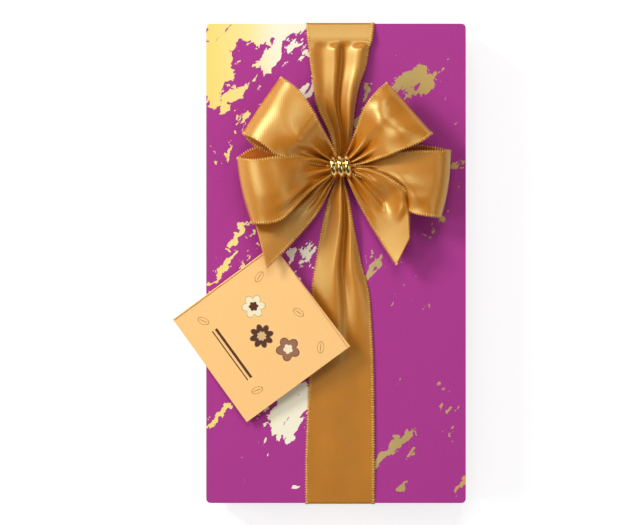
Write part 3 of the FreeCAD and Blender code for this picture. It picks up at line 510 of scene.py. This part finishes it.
def ribbon_sheet(name, surface, columns, rows, faces_in=False, stitched=True):
    """A ribbon from surface(across, along), both from 0 to 1, with its own map in millimetres.
    The reverse shows on the other side of the sheet, or on the first side where that faces in.
    Returns the sheet and its stitched edges."""
    grid = [[surface(column / columns, row / rows) for column in range(columns + 1)]
            for row in range(rows + 1)]
    middle = columns // 2
    lengths = [0.0]
    for here, following in zip(grid, grid[1:]):
        lengths.append(lengths[-1] + (following[middle] - here[middle]).length)
    points = [point for line in grid for point in line]
    width = columns + 1
    faces = [(first, first + 1, first + width + 1, first + width)
             for row in range(rows) for first in range(row * width, row * width + columns)]
    front, back = (SATIN_BACK, SATIN) if faces_in else (SATIN, SATIN_BACK)
    piece = new_piece(name, points, faces, front)
    piece.data.materials.append(back)
    layer = piece.data.uv_layers.new(name="across_along")
    for loop in piece.data.loops:
        row, column = divmod(loop.vertex_index, width)
        layer.data[loop.index].uv = (column / columns * RIBBON_WIDTH, lengths[row])
    thicken = piece.modifiers.new("thickness", "SOLIDIFY")
    thicken.thickness = RIBBON_THICKNESS * MM
    thicken.offset = 0
    thicken.material_offset = 1
    apply_modifiers(piece)
    picot = picot_edges(name + "_picot", grid) if stitched else None
    for part in filter(None, (piece, picot)):
        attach(part, "lid")
    return piece, picot


def picot_edges(name, grid):
    """Rows of small raised stitches along both edges of a ribbon."""
    pitch, inset = 0.92, 0.35
    reach, width, height = 0.7, 0.31, 0.34
    sides, end_size, too_short = 6, 0.45, 1e-6
    turns = [radians(360 / sides * turn) for turn in range(sides)]
    ring = [(cos(turn), sin(turn)) for turn in turns]
    beside = [(turn, (turn + 1) % sides) for turn in range(sides)]
    walls = [(level + a, level + b, level + sides + b, level + sides + a)
             for level in (0, sides) for a, b in beside]
    caps = [tuple(reversed(range(sides))), tuple(range(2 * sides, 3 * sides))]
    points, faces = [], []
    for edge, inner in ((0, 1), (-1, -2)):
        left_over = pitch / 2
        for here, following in zip(grid, grid[1:]):
            step = following[edge] - here[edge]
            length = step.length
            if length < too_short:
                continue
            tangent = step / length
            inward = here[inner] - here[edge]
            inward = (inward - tangent * inward.dot(tangent)).normalized()
            normal = tangent.cross(inward)
            while left_over < length:
                centre = here[edge] + tangent * left_over + inward * inset
                first = len(points)
                for shift, size in ((-1, end_size), (0, 1), (1, end_size)):
                    for a, b in ring:
                        points.append(centre + inward * (shift * reach) + tangent * (a * width * size)
                                      + normal * (b * height * size))
                faces += [tuple(first + corner for corner in face) for face in walls + caps]
                left_over += pitch
            left_over -= length
    piece = new_piece(name, points, faces, PICOT)
    edit_whole(piece, bpy.ops.mesh.normals_make_consistent, inside=False)
    return piece


# Each loop: bearing and reach as in the solids; heights of its crest, end and underside over the lid;
# roll is how far in from the end the crest lies; tips are the reach of the two edges and bulge what the
# middle of the end stands past them; lean is how much higher the front's right edge lies than its left;
# edges as (out, half-width) on the left and the right of the bearing; creases as (across, spread, depth,
# reach); swells as (across, out, spread across, spread out, height); dips as (out, height).
LOOPS = {
    "loop_upper_left": {
        "bearing": 142.4, "length": 36.0, "top": 18.0, "tip": 9.0, "bottom": 6.5, "roll": 17.0,
        "tips": (35.4, 36.9), "bulge": 0.3, "lean": 0.0,
        "front_left": [(2, 1.8), (10, 6.2), (19.9, 10.7), (27, 10.9), (31, 11.4), (36, 12.2)],
        "front_right": [(2, 1.4), (7.1, 3.6), (13.4, 6.6), (20, 9.8), (28.3, 12.5), (36, 12.5)],
        "back_left": [(2, 1.5), (14, 6.5), (20, 10.0), (27, 12.8), (31, 13.2), (36, 12.2)],
        "back_right": [(2, 1.5), (20, 7.5), (30, 11.0), (36, 12.5)],
        "creases": [(0.3, 0.09, 2.2, 19), (0.58, 0.07, 1.5, 15), (0.88, 0.05, 1.3, 12)],
        "swells": [(0.12, 14, 0.16, 6, -1.6), (0.45, 17, 0.12, 7, 0.6)],
        "dip_left": [(0, 0), (8, -0.6), (16, -1.6), (26, -0.4), (36, 0)],
        "dip_right": [(0, 0), (15, -1.0), (28, -1.2), (36, 0)],
    },
    "loop_left": {
        "bearing": 194.5, "length": 36.0, "top": 17.4, "tip": 9.2, "bottom": 7.0, "roll": 12.0,
        "tips": (36.3, 35.6), "bulge": 0.9, "lean": 0.0,
        "front_left": [(2, 1.8), (8, 4.2), (14.2, 6.9), (24.4, 13.2), (30.1, 13.7), (36, 12.3)],
        "front_right": [(2, 1.6), (10, 6.4), (21.6, 8.9), (29.6, 9.9), (36, 12.1)],
        "back_left": [(2, 1.5), (20, 7.5), (30, 11.0), (36, 12.3)],
        "back_right": [(2, 1.5), (14, 5.0), (20.4, 9.4), (26.9, 13.8), (30.4, 14.2), (36, 12.4)],
        "creases": [(0.12, 0.05, 2.2, 27), (0.33, 0.07, 1.3, 17), (0.56, 0.09, 1.9, 17),
                    (0.84, 0.05, 0.9, 12)],
        "swells": [(0.22, 19, 0.08, 7, 0.8), (0.7, 15, 0.14, 6, 0.5)],
        "dip_left": [(0, 0), (10, -1.0), (24, -2.4), (36, 0)],
        "dip_right": [(0, 0), (8, 0.4), (20, -0.4), (36, 0)],
    },
    "loop_upper_right": {
        "bearing": 39.6, "length": 32.7, "top": 16.2, "tip": 11.4, "bottom": 7.5, "roll": 9.0,
        "tips": (32.3, 33.3), "bulge": 0.1, "lean": 4.0,
        "front_left": [(2, 1.4), (6, 2.6), (12, 6.0), (20.2, 10.7), (26.8, 12.3), (32.7, 12.6)],
        "front_right": [(2, 1.8), (13.8, 7.4), (22.4, 10.3), (28, 12.0), (32.7, 12.2)],
        "back_left": [(2, 1.2), (20, 7.5), (28, 11.0), (32.7, 12.6)],
        "back_right": [(2, 1.2), (20, 7.5), (28, 11.0), (32.7, 12.2)],
        "creases": [(0.14, 0.05, 0.9, 11), (0.52, 0.1, 2.3, 22), (0.9, 0.05, 0.9, 13)],
        "swells": [(0.35, 22, 0.12, 4, 0.7), (0.18, 27, 0.1, 5, 0.7),
                   (0.73, 24.5, 0.14, 4, 0.8), (0.5, 29, 0.15, 3.5, -0.5)],
        "dip_left": [(0, 0), (20, -1.0), (28, -0.8), (32.7, 0)],
        "dip_right": [(0, 0), (12, 0.3), (22, -0.6), (32.7, 0)],
    },
    "loop_right": {
        "bearing": -10.1, "length": 39.2, "top": 13.2, "tip": 8.0, "bottom": 5.2, "roll": 6.5,
        "tips": (38.6, 39.5), "bulge": 0.9, "lean": 0.0,
        "front_left": [(2, 1.4), (12, 5.6), (23.9, 9.7), (33, 11.4), (39.2, 12.5)],
        "front_right": [(2, 1.4), (12, 3.6), (20, 6.4), (25, 10.0), (29, 12.2), (39.2, 12.1)],
        "back_left": [(2, 1.2), (16, 6.5), (25.3, 12.0), (34.1, 12.9), (39.2, 12.6)],
        "back_right": [(2, 1.2), (20, 5.6), (30, 10.4), (39.2, 12.1)],
        "creases": [(0.28, 0.06, 1.2, 15), (0.55, 0.07, 1.3, 14)],
        "swells": [(0.64, 24, 0.12, 4.5, 1.2), (0.77, 28.5, 0.1, 4, 1.1), (0.4, 31, 0.2, 6, -0.4)],
        "dip_left": [(0, 0), (12, -0.8), (39.2, 0)],
        "dip_right": [(0, 0), (8, -1.2), (16, -4.0), (23, -5.0), (29, -2.0), (34, -0.4), (39.2, 0)],
    },
}

# Where every loop comes out of the wire, the tucks across it there, and the reach of what shapes it.
PINCHED = 2.0
TUCKS = 2.7
TUCK_HEIGHT = 1.85
TUCK_BUNCHING = 0.07
TUCKS_RISE = (2.0, 5.0)
TUCKS_FADE = (6.0, 15.0)
CREASES_RISE = (2.0, 6.0)
CREASE_POWER = 1.4
CREASE_FULL = 0.4
LEAN_RISE = (6.0, 18.0)
SLANT_FROM = 0.3
BACK_RELIEF = 0.5


def loop_spine(shape):
    """(out, height, front share) along a loop: out on the back sheet, round its end, home on the front."""
    length, top, tip, bottom = shape["length"], shape["top"], shape["tip"], shape["bottom"]
    back_foot, back_leaves = 5.0, 5.0
    front_foot, front_leaves = 7.4, 3.0
    turnover = 1.4
    curl = tip - bottom
    back_end = length - curl
    crest = length - shape["roll"]
    steps = 40
    spine = []
    for step in range(steps + 1):
        out = PINCHED + (back_end - PINCHED) * step / steps
        spine.append((out, back_foot + (bottom - back_foot) * ease(back_leaves, back_end, out), 0.0))
    for step in range(1, steps + 1):
        angle = pi / 2 * step / steps
        spine.append((back_end + curl * sin(angle), tip - curl * cos(angle), 0.5 * step / steps))
    for step in range(1, steps + 1):
        angle = pi / 2 * step / steps
        spine.append((crest + shape["roll"] * cos(angle), tip + (top - tip) * sin(angle),
                      min(0.5 + turnover * step / steps, 1.0)))
    for step in range(1, steps + 1):
        out = crest + (PINCHED - crest) * step / steps
        spine.append((out, front_foot + (top - front_foot) * ease(front_leaves, crest, out), 1.0))
    return spine


def loop_surface(shape):
    """The form of a loop over (across, along), and its length along the ribbon."""
    bearing = radians(shape["bearing"])
    outward = Vector((cos(bearing), sin(bearing), 0))
    leftward = Vector((-outward.y, outward.x, 0))
    length = shape["length"]
    spine = loop_spine(shape)
    walks = [0.0]
    for here, following in zip(spine, spine[1:]):
        walks.append(walks[-1] + dist(here[:2], following[:2]))
    total = walks[-1]

    def relief(across, out, left, right):
        """Creases, swells and tucks on the front of the loop."""
        lift = 0.0
        for crease_at, spread, depth, reach in shape["creases"]:
            fade = (1 - ease(reach * CREASE_FULL, reach, out)) * ease(*CREASES_RISE, out)
            lift -= depth * fade * exp(-(abs(across - crease_at) / spread) ** CREASE_POWER)
        lift += swollen(shape["swells"], across, out)
        slack = sqrt(max(RIBBON_WIDTH ** 2 - (left + right) ** 2, 0.0))
        bunched = across + TUCK_BUNCHING * sin(tau * across + shape["bearing"])
        tuck = min(slack / (4 * TUCKS), TUCK_HEIGHT) * ease(*TUCKS_RISE, out) * (1 - ease(*TUCKS_FADE, out))
        return lift + tuck * sin(tau * TUCKS * bunched + shape["bearing"])

    def surface(across, along):
        walked = along * total
        index = min(max(bisect.bisect_right(walks, walked) - 1, 0), len(spine) - 2)
        here, following = spine[index], spine[index + 1]
        step = walks[index + 1] - walks[index]
        share = (walked - walks[index]) / step
        out, height, front = (a + (b - a) * share for a, b in zip(here, following))
        slope = (following[1] - here[1]) / step, (here[0] - following[0]) / step
        back_edges = through(shape["back_left"], out), through(shape["back_right"], out)
        front_edges = through(shape["front_left"], out), through(shape["front_right"], out)
        left, right = (b + (f - b) * front for b, f in zip(back_edges, front_edges))
        sideways = left + (-right - left) * across
        left_tip, right_tip = shape["tips"]
        tip = left_tip + (right_tip - left_tip) * across
        tip += shape["bulge"] * sin(pi * across)
        reach = out * (1 + (tip / length - 1) * ease(SLANT_FROM * length, length, out))
        lift = relief(across, out, left, right) * (front - BACK_RELIEF * (1 - front))
        dip = (through(shape["dip_left"], out) * (1 - ease(0.0, 0.5, across))
               + through(shape["dip_right"], out) * ease(0.5, 1.0, across)) * front
        dip += shape["lean"] * (across - 0.5) * ease(*LEAN_RISE, out) * front
        spot = outward * reach + leftward * sideways + UP * height
        spot += outward * (slope[0] * lift) + UP * (slope[1] * lift + dip)
        return BOW_FOOT + spot

    return surface, total


for loop_name, loop_shape in LOOPS.items():
    loop_form, loop_length = loop_surface(loop_shape)
    loop, loop_picot = ribbon_sheet(loop_name + "_satin", loop_form, 60, 170, faces_in=True)
    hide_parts(loop_name)


# Tails: edges as points on the lid face with the height above it, from the knot to the cut end; folds as
# (across, spread, height, start, reach); swells as (across, along, spread across, spread along, height);
# gathers is how many lie side by side at the knot, bow the height of the middle over the edges, and curl
# how far the far corner turns under; the lengths of the two edges of the flat ribbon.
TAILS = {
    "tail_left": {
        "left": [(0.6, 34.8, 4.0), (-7.0, 33.0, 3.7), (-15.0, 29.8, 3.8), (-23.5, 26.2, 4.6),
                 (-31.5, 22.5, 5.6)],
        "right": [(0.9, 33.6, 4.0), (-2.4, 26.8, 3.7), (-7.5, 17.4, 4.2), (-17.2, 6.3, 7.0),
                  (-25.2, -2.0, 9.4)],
        "folds": [(0.3, 0.1, -0.6, 0.0, 0.5), (0.62, 0.12, 0.7, 0.0, 0.6), (0.82, 0.08, -0.5, 0.0, 0.45)],
        "swells": [(0.6, 0.8, 0.3, 0.2, 0.5)],
        "gathers": 4.0, "bow": 0.8, "curl": 0.0, "long_edge": 43.0, "short_edge": 30.0,
    },
    "tail_right": {
        "left": [(3.0, 33.6, 5.0), (6.0, 26.6, 5.4), (10.9, 17.0, 3.4), (16.8, 7.3, 4.8),
                 (22.0, -0.8, 8.4)],
        "right": [(4.4, 35.0, 6.6), (13.0, 34.2, 9.8), (21.5, 29.8, 12.2), (27.4, 23.6, 11.8),
                  (27.8, 11.2, 11.4)],
        "folds": [(0.42, 0.06, 1.3, 0.0, 0.28), (0.78, 0.1, 1.2, 0.05, 0.62)],
        "swells": [(0.6, 0.54, 0.2, 0.1, -3.0), (0.95, 0.54, 0.08, 0.08, 0.7), (0.87, 0.66, 0.1, 0.06, 1.2),
                   (0.68, 0.72, 0.14, 0.05, 1.1)],
        "gathers": 3.5, "bow": -0.4, "curl": 3.0, "long_edge": 39.0, "short_edge": 27.0,
    },
}


def tail_surface(shape):
    """The form of a tail over (across, along)."""
    gather_height = 1.2
    gathers_rise, gathers_fade = (0.0, 0.12), (0.2, 0.7)
    bow_rise, fold_rise = (0.1, 0.6), 0.15
    curl_along, curl_across, curl_inward = (0.62, 0.78), (0.8, 1.0), 0.4
    edges = [[[(index / (len(spots) - 1), spot[axis]) for index, spot in enumerate(spots)]
              for axis in range(3)] for spots in (shape["left"], shape["right"])]

    def surface(across, along):
        left, right = (Vector([through(line, along) for line in edge]) for edge in edges)
        spot = left.lerp(right, across)
        slack = sqrt(max(RIBBON_WIDTH ** 2 - (right - left).length_squared, 0.0))
        gather = min(slack / (4 * shape["gathers"]), gather_height)
        gather *= ease(*gathers_rise, along) * (1 - ease(*gathers_fade, along))
        lift = shape["bow"] * sin(pi * across) * ease(*bow_rise, along)
        lift += gather * sin(tau * shape["gathers"] * across)
        for fold_at, spread, fold_height, start, reach in shape["folds"]:
            fade = (1 - ease((start + reach) / 2, reach, along)) * ease(start, start + fold_rise, along)
            lift += fold_height * fade * exp(-((across - fold_at) / spread) ** 2)
        lift += swollen(shape["swells"], across, along)
        under = shape["curl"] * ease(*curl_along, along) * ease(*curl_across, across)
        return spot + Vector((-curl_inward * under, 0, lift + LID_TOP - under))

    return surface


for tail_name, tail_shape in TAILS.items():
    tail, tail_picot = ribbon_sheet(tail_name + "_satin", tail_surface(tail_shape), 40, 70, faces_in=True)
    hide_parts(tail_name)


# The ribbon along the lid: left and right edge by place along the lid, and the pleats across it.
BAND_EDGES = [
    (-88.2, -11.0, 14.0), (-72.0, -11.0, 14.0), (-38.0, -9.6, 13.6), (-22.0, -8.6, 12.9), (-10.0, -8.8, 11.9),
    (0.0, -7.4, 9.2), (12.6, -5.2, 6.6), (23.9, -2.6, 4.6), (30.4, -0.1, 3.0), (35.4, -0.6, 3.2),
    (41.5, -0.9, 5.0), (48.0, -2.6, 5.9), (57.6, -7.0, 7.0), (65.0, -8.1, 8.5), (72.2, -9.2, 11.0),
    (78.4, -9.9, 12.1), (82.0, -10.4, 13.2), (88.2, -10.7, 13.9),
]
UPPER_PLEATS = [
    (0.0, 0.0), (0.06, 0.05), (0.14, -0.08), (0.2, -0.15), (0.27, -0.05), (0.36, 0.2), (0.44, 0.42),
    (0.48, 0.25), (0.52, -0.45), (0.57, -0.55), (0.63, -0.2), (0.71, 0.1), (0.8, 0.42), (0.88, 0.5),
    (0.94, 0.2), (1.0, -0.15),
]
LOWER_PLEATS = [
    (0.0, 0.0), (0.1, 0.22), (0.2, 0.46), (0.3, 0.73), (0.38, 0.94), (0.43, 1.0), (0.48, 0.84), (0.53, 0.22),
    (0.57, 0.02), (0.62, 0.12), (0.7, 0.48), (0.78, 0.66), (0.88, 0.5), (1.0, 0.0),
]
# Height of the ribbon's middle over the lid by place along it: it slopes up from the upper edge.
UPPER_RISE = [(35.4, 0.9), (42.0, 2.2), (48.0, 3.1), (58.0, 3.1), (70.0, 2.6), (82.0, 1.7), (87.95, 0.2)]


def band_path():
    """The middle line of the ribbon, from inside one end of the lid to inside the other."""
    end, foot, wall, tuck = 87.75, 5.1, 2.0, 9.0
    skin = 0.2
    rim = foot - skin - LID_TOP
    half = [(end + skin, skin), (end + skin, rim), (end - wall - skin, rim),
            (end - wall - skin, foot + tuck - LID_TOP)]
    return [(-y, z) for y, z in reversed(half)] + half


def upper_height(across, y):
    """Height of the gathered ribbon over the lid, between the bow and the upper edge."""
    deepest, flat_end, from_bow = 3.3, (81.0, 78.2), (37.0, 60.0)
    at_bow = 0.3
    depth = deepest * ease(*flat_end, y) * (at_bow + (1 - at_bow) * ease(*from_bow, y))
    return through(UPPER_RISE, y) + depth * through(UPPER_PLEATS, across)


def lower_rise(across, y):
    """How far the ribbon stands off its flat path, between the lower edge and the bow: pleats that drift to
    one side, a seat under the wire, a crown before it, and a ripple where the ribbon lies almost flat."""
    deepest, flat_end, from_bow = 3.9, (-40.0, 8.0), (34.0, 14.0)
    at_bow = 0.35
    depth = deepest * ease(*flat_end, y) * (at_bow + (1 - at_bow) * ease(*from_bow, y))
    drift = 0.18 * ease(-4.0, 22.0, y)
    seat = 0.7 * ease(15.0, BOW_Y, y)
    crown = 1.6 * sin(pi * across) * ease(6.0, 26.0, y) * ease(BOW_Y, 31.0, y)
    wave = 0.5 - 0.5 * cos(tau * (1.6 * across + 0.003 * y))
    ripple = 0.35 * wave * ease(-87.0, -76.0, y) * ease(8.0, -40.0, y)
    return depth * through(LOWER_PLEATS, across - drift) + seat + crown + ripple


def band_surface():
    """The form of the ribbon along the lid over (across, along), and its length."""
    path = band_path()
    face_leg = 3
    legs = [dist(a, b) for a, b in zip(path, path[1:])]
    total = sum(legs)
    left = [(y, x) for y, x, _ in BAND_EDGES]
    right = [(y, x) for y, _, x in BAND_EDGES]

    def surface(across, along):
        walked = along * total
        index = 0
        while index < len(legs) - 1 and walked > legs[index]:
            walked -= legs[index]
            index += 1
        share = walked / legs[index]
        (y0, z0), (y1, z1) = path[index], path[index + 1]
        y, height = y0 + (y1 - y0) * share, z0 + (z1 - z0) * share
        x = through(left, y) + (through(right, y) - through(left, y)) * across
        if index == face_leg and y > BOW_Y:
            height = upper_height(across, y)
        elif index == face_leg:
            height += lower_rise(across, y)
        return Vector((x, y, height + LID_TOP))

    return surface, total


band_form, band_length = band_surface()
band, band_picot = ribbon_sheet("ribbon_band_satin", band_form, 48, 420)
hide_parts("ribbon_band")


def bow_middle_surface(across, along):
    """The ribbon gathered into a fluted bundle along X where the wire holds it."""
    half, waist, flare, flaring = 4.9, 1.7, 2.1, (2.6, 4.4)
    flutes, flute_depth, unevenness = 9, 0.42, 0.6
    x = half * (2 * along - 1)
    angle = tau * across
    radius = waist + (flare - waist) * ease(*flaring, abs(x))
    radius += flute_depth * sin(flutes * angle + unevenness * sin(2 * angle))
    return KNOT + Vector((x, radius * cos(angle), radius * sin(angle)))


middle, _ = ribbon_sheet("bow_middle_satin", bow_middle_surface, 90, 24, stitched=False)
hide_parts("bow_middle")


def wound_wire():
    """The gold wire wound round the gathered middle: one smooth helix."""
    turns, pitch, radius, wire = 3, 2.65, 3.2, 2.8
    steps = 14
    count = turns * steps + 1
    swell = 1 / cos(pi / steps) ** 0.5
    path = []
    for index in range(count):
        angle = tau * index / steps - pi / 2
        x = pitch * turns * (index / (count - 1) - 0.5)
        spot = KNOT + Vector((x, radius * swell * cos(angle), radius * swell * sin(angle)))
        path.append(spot * MM)
    piece = tube("bow_tie_wire", path, wire, 6, GOLD_WIRE)
    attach(piece, "lid")
    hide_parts("bow_tie")


wound_wire()


# Chocolates and the pad over them.

def chocolate_material(name, dark, pale, roughness):
    """Tempered chocolate from a polished mould: smooth, with a soft gloss, faint clouds from setting
    and small pits of 0.5 mm in radius where bubbles met the mould."""
    material, shader = new_material(name, Specular_IOR_Level=0.4, Coat_Weight=0.15, Coat_Roughness=0.3)
    where = own_place(shader)
    cloud = noise(where, 160.0, 3.0)
    feed(shader, Base_Color=ramp_of(cloud, [(0.35, dark), (0.65, pale)]),
         Roughness=mapped(cloud, 0.0, 1.0, roughness - 0.08, roughness + 0.12))
    pits = linked("TexVoronoi", {"Vector": where, "Scale": 420.0})
    emboss(shader, mapped(pits.outputs["Distance"], 0.0, 0.22), 0.25, 0.1)
    return material


def cocoa_material():
    """Cocoa powder rolled on a truffle: dry, matt and grainy, with grains drawn large enough to show."""
    return grained("cocoa_powder", 900.0, 4.0, [(0.3, "#3d2115"), (0.55, "#5d3521"), (0.75, "#7a4a30")],
                   coarseness=0.7, relief=(0.7, 0.4), Roughness=0.95, Specular_IOR_Level=0.1,
                   Sheen_Weight=0.3)


DARK = chocolate_material("dark_chocolate", "#32190f", "#3f2216", 0.3)
MILK = chocolate_material("milk_chocolate", "#6a3a1e", "#774526", 0.32)
WHITE = chocolate_material("white_chocolate", "#e6d2a2", "#efdfb6", 0.35)
COCOA = cocoa_material()

# Each kind of chocolate: its coating, the material slot it stands for, and the chocolate piped over it.
CHOCOLATES = {
    "bar": (MILK, "milk_chocolate", None),
    "button": (MILK, "milk_chocolate", WHITE),
    "dome": (DARK, "dark_chocolate", WHITE),
    "heart": (MILK, "milk_chocolate", None),
    "pyramid": (WHITE, "white_chocolate", DARK),
    "truffle": (COCOA, "dark_chocolate", None),
}


def coated_copy(node_name, coating):
    """A chocolate as it leaves its coating: the solid's shape with every edge run soft."""
    same_point, skin_step, smoothing = 0.02, 0.65, 7
    mesh = nodes[node_name].data.copy()
    mesh.materials.clear()
    mesh.materials.append(coating)
    piece = new_object(node_name + "_coated", mesh)
    edit_whole(piece, bpy.ops.mesh.remove_doubles, threshold=same_point * MM)
    remesh = piece.modifiers.new("even_skin", "REMESH")
    remesh.mode = "VOXEL"
    remesh.voxel_size = skin_step * MM
    soften = piece.modifiers.new("soft_edges", "SMOOTH")
    soften.factor = 0.5
    soften.iterations = smoothing
    apply_modifiers(piece)
    bpy.ops.object.shade_smooth()
    return piece


def roughen(piece):
    """Uneven lumps of powder over a truffle."""
    lumps = bpy.data.textures.new(piece.name + "_lumps", "CLOUDS")
    lumps.noise_scale = 2.2 * MM
    powder = piece.modifiers.new("powder", "DISPLACE")
    powder.texture = lumps
    powder.texture_coords = "LOCAL"
    powder.strength = 0.9 * MM
    powder.mid_level = 0.75
    apply_modifiers(piece)


def piped_line(piece, chocolate):
    """A line of chocolate piped to and fro over the top of a piece, and joined to it."""
    bpy.context.view_layer.update()
    covered, narrowing, above, thickness = 0.34, 0.35, 10.0, 0.9
    sweeps, steps, turn = 5, 10, radians(35)
    corners = [Vector(corner) for corner in piece.bound_box]
    middle = sum(corners, Vector()) / len(corners)
    top = max(corner.z for corner in corners)
    half = covered * (max(corner.x for corner in corners) - min(corner.x for corner in corners))
    path = []
    for index in range(sweeps * steps + 1):
        sweep = index / steps
        out = half * (2 * sweep / sweeps - 1)
        swing = half * sin(pi * (sweep - 0.5)) * (1 - narrowing * (out / half) ** 2)
        spot = middle + Vector((out * cos(turn) - swing * sin(turn),
                                out * sin(turn) + swing * cos(turn), 0))
        found, place, *_ = piece.ray_cast(Vector((spot.x, spot.y, top + above * MM)), -UP)
        if found:
            path.append(place)
    tube(piece.name + "_piping", path, thickness, 2, chocolate)
    piece.select_set(True)
    bpy.context.view_layer.objects.active = piece
    bpy.ops.object.join()


for node_name in sorted(name for name in nodes if name.startswith("praline_")):
    coating, slot, piped = CHOCOLATES[node_name.split("_")[1]]
    sweet = coated_copy(node_name, coating)
    if coating is COCOA:
        roughen(sweet)
    if piped:
        piped_line(sweet, piped)
    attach(sweet, "base")
    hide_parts(node_name)


def pad_paper_material():
    """Glassine crepe over wadding: cream, matt and a little translucent, embossed with a 1.6 mm dot grid."""
    material, shader = new_material("embossed_glassine_cream", Roughness=0.6, Specular_IOR_Level=0.3,
                                    Sheen_Weight=0.1)
    dot_pitch = 1.6
    where = own_place(shader)
    feed(shader, Base_Color=ramp_of(noise(where, 500.0, 4.0), [(0.3, "#e6d9bf"), (0.7, "#f1e7d2")]))
    dots = linked("TexVoronoi", {"Vector": where, "Scale": 1 / (dot_pitch * MM), "Randomness": 0.0},
                  voronoi_dimensions="2D")
    emboss(shader, mapped(dots.outputs["Distance"], 0.35, 0.15), 0.5, 0.2)
    return material


def quilted_pad():
    """The cushion under the lid: flat against the board, with a crowned roll between each two channels."""
    low, high = (Vector(corner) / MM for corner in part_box("cushion_pad"))
    columns, rolls, steps, corner, waist = 56, 18, 10, 3.0, 0.7
    channel, dent, pucker_height, squareness = 0.48, 0.12, 0.1, 12
    rows = rolls * steps
    half = (high.x - low.x) / 2
    length = high.y - low.y
    thick = high.z - low.z
    under, over = [], []
    for row in range(rows + 1):
        y = low.y + length * row / rows
        crown = abs(sin(pi * row / steps)) ** 0.5
        end = min(y - low.y, high.y - y, corner)
        reach = half - corner + sqrt(corner ** 2 - (corner - end) ** 2) - waist * (1 - crown)
        for column in range(columns + 1):
            across = 2 * column / columns - 1
            x = (low.x + high.x) / 2 + reach * across
            full = crown * (1 - abs(across) ** squareness) ** 0.5
            pucker = pucker_height * sin(2.1 * x + 3.0 * sin(0.7 * y)) * (1 - crown)
            under.append(Vector((x, y, high.z - thick * (channel + (1 - channel) * full) - pucker)))
            over.append(Vector((x, y, high.z - dent * (1 - full))))
    width = columns + 1
    faces = [(first, first + width, first + width + 1, first + 1)
             for row in range(rows) for first in range(row * width, row * width + columns)]
    lift = len(under)
    faces += [tuple(lift + index for index in reversed(face)) for face in faces]
    rim = list(range(width))
    rim += [row * width + columns for row in range(1, rows + 1)]
    rim += [rows * width + column for column in range(columns - 1, -1, -1)]
    rim += [row * width for row in range(rows - 1, 0, -1)]
    for here, following in zip(rim, rim[1:] + rim[:1]):
        faces.append((here, following, following + lift, here + lift))
    piece = new_piece("quilted_cushion", under + over, faces, pad_paper_material())
    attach(piece, "lid")
    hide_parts("cushion_pad")


quilted_pad()


# Stage, light and camera.

def make_floor():
    """A white floor: a diffuse sheet that also glows where it is seen."""
    grey, glow = 0.6, 0.66
    bpy.ops.mesh.primitive_plane_add(size=6.0, location=(0, 0, 0))
    floor = bpy.context.active_object
    floor.name = "floor"
    material = bpy.data.materials.new("white_floor")
    material.use_nodes = True
    tree = material.node_tree
    tree.nodes.clear()
    matt = add(tree, "BsdfDiffuse", {"Color": (grey, grey, grey, 1)})
    strength = maths("MULTIPLY", seen_directly(tree), glow)
    shine = linked("Emission", {"Color": (1, 1, 1, 1), "Strength": strength})
    both = linked("AddShader", {0: matt.outputs["BSDF"], 1: shine.outputs["Emission"]})
    linked("OutputMaterial", {"Surface": both.outputs["Shader"]})
    floor.data.materials.append(material)


def make_world():
    """A white wall round the horizon behind the floor, and a dim ceiling; even light from all round."""
    wall_top, wall_full = 0.42, 0.2
    ceiling, light = 0.08, 0.3
    world = bpy.data.worlds.new("studio")
    bpy.context.scene.world = world
    world.use_nodes = True
    tree = world.node_tree
    tree.nodes.clear()
    towards = add(tree, "TexCoord").outputs["Generated"]
    wall = mapped(axis_of(towards, "Z"), wall_top, wall_full)
    room = mapped(wall, 0.0, 1.0, ceiling, 1.0)
    strength = mapped(seen_directly(tree), 0.0, 1.0, light, room)
    sky = linked("Background", {"Color": (1, 1, 1, 1), "Strength": strength})
    linked("OutputWorld", {"Surface": sky.outputs["Background"]})


def make_lamp(name, size, power, place):
    """A square softbox aimed at the middle of the box."""
    lamp = bpy.data.lights.new(name, "AREA")
    lamp.size = size
    lamp.energy = power
    holder = new_object(name, lamp)
    holder.location = place
    aim = Vector((0, 0, 0.03)) - Vector(place)
    holder.rotation_euler = aim.to_track_quat("-Z", "Y").to_euler()


def make_camera():
    """Straight above the lid, at the picture's scale on the lid's face."""
    picture_width, pixel, sensor = 628, 0.366, 36
    height, shift_x, shift_y = 1.6, -8.05 * MM, 0.3 * MM
    frame_width = picture_width * pixel * MM
    camera = bpy.data.cameras.new("camera")
    camera.sensor_width = sensor
    camera.lens = sensor * (height - LID_TOP * MM) / frame_width
    holder = new_object("camera", camera)
    holder.location = (shift_x, shift_y, height)
    bpy.context.scene.camera = holder


make_floor()
make_world()
make_lamp("key", 0.26, 6.6, (-0.75, 0.5, 0.62))
make_lamp("left_softbox", 0.4, 2.6, (-0.8, 0.0, 0.82))
make_lamp("top_softbox", 0.4, 3.0, (0.0, 0.62, 1.0))
make_lamp("right_fill", 0.6, 1.5, (0.65, -0.2, 1.0))
make_camera()
bpy.context.scene.view_settings.view_transform = "Standard"
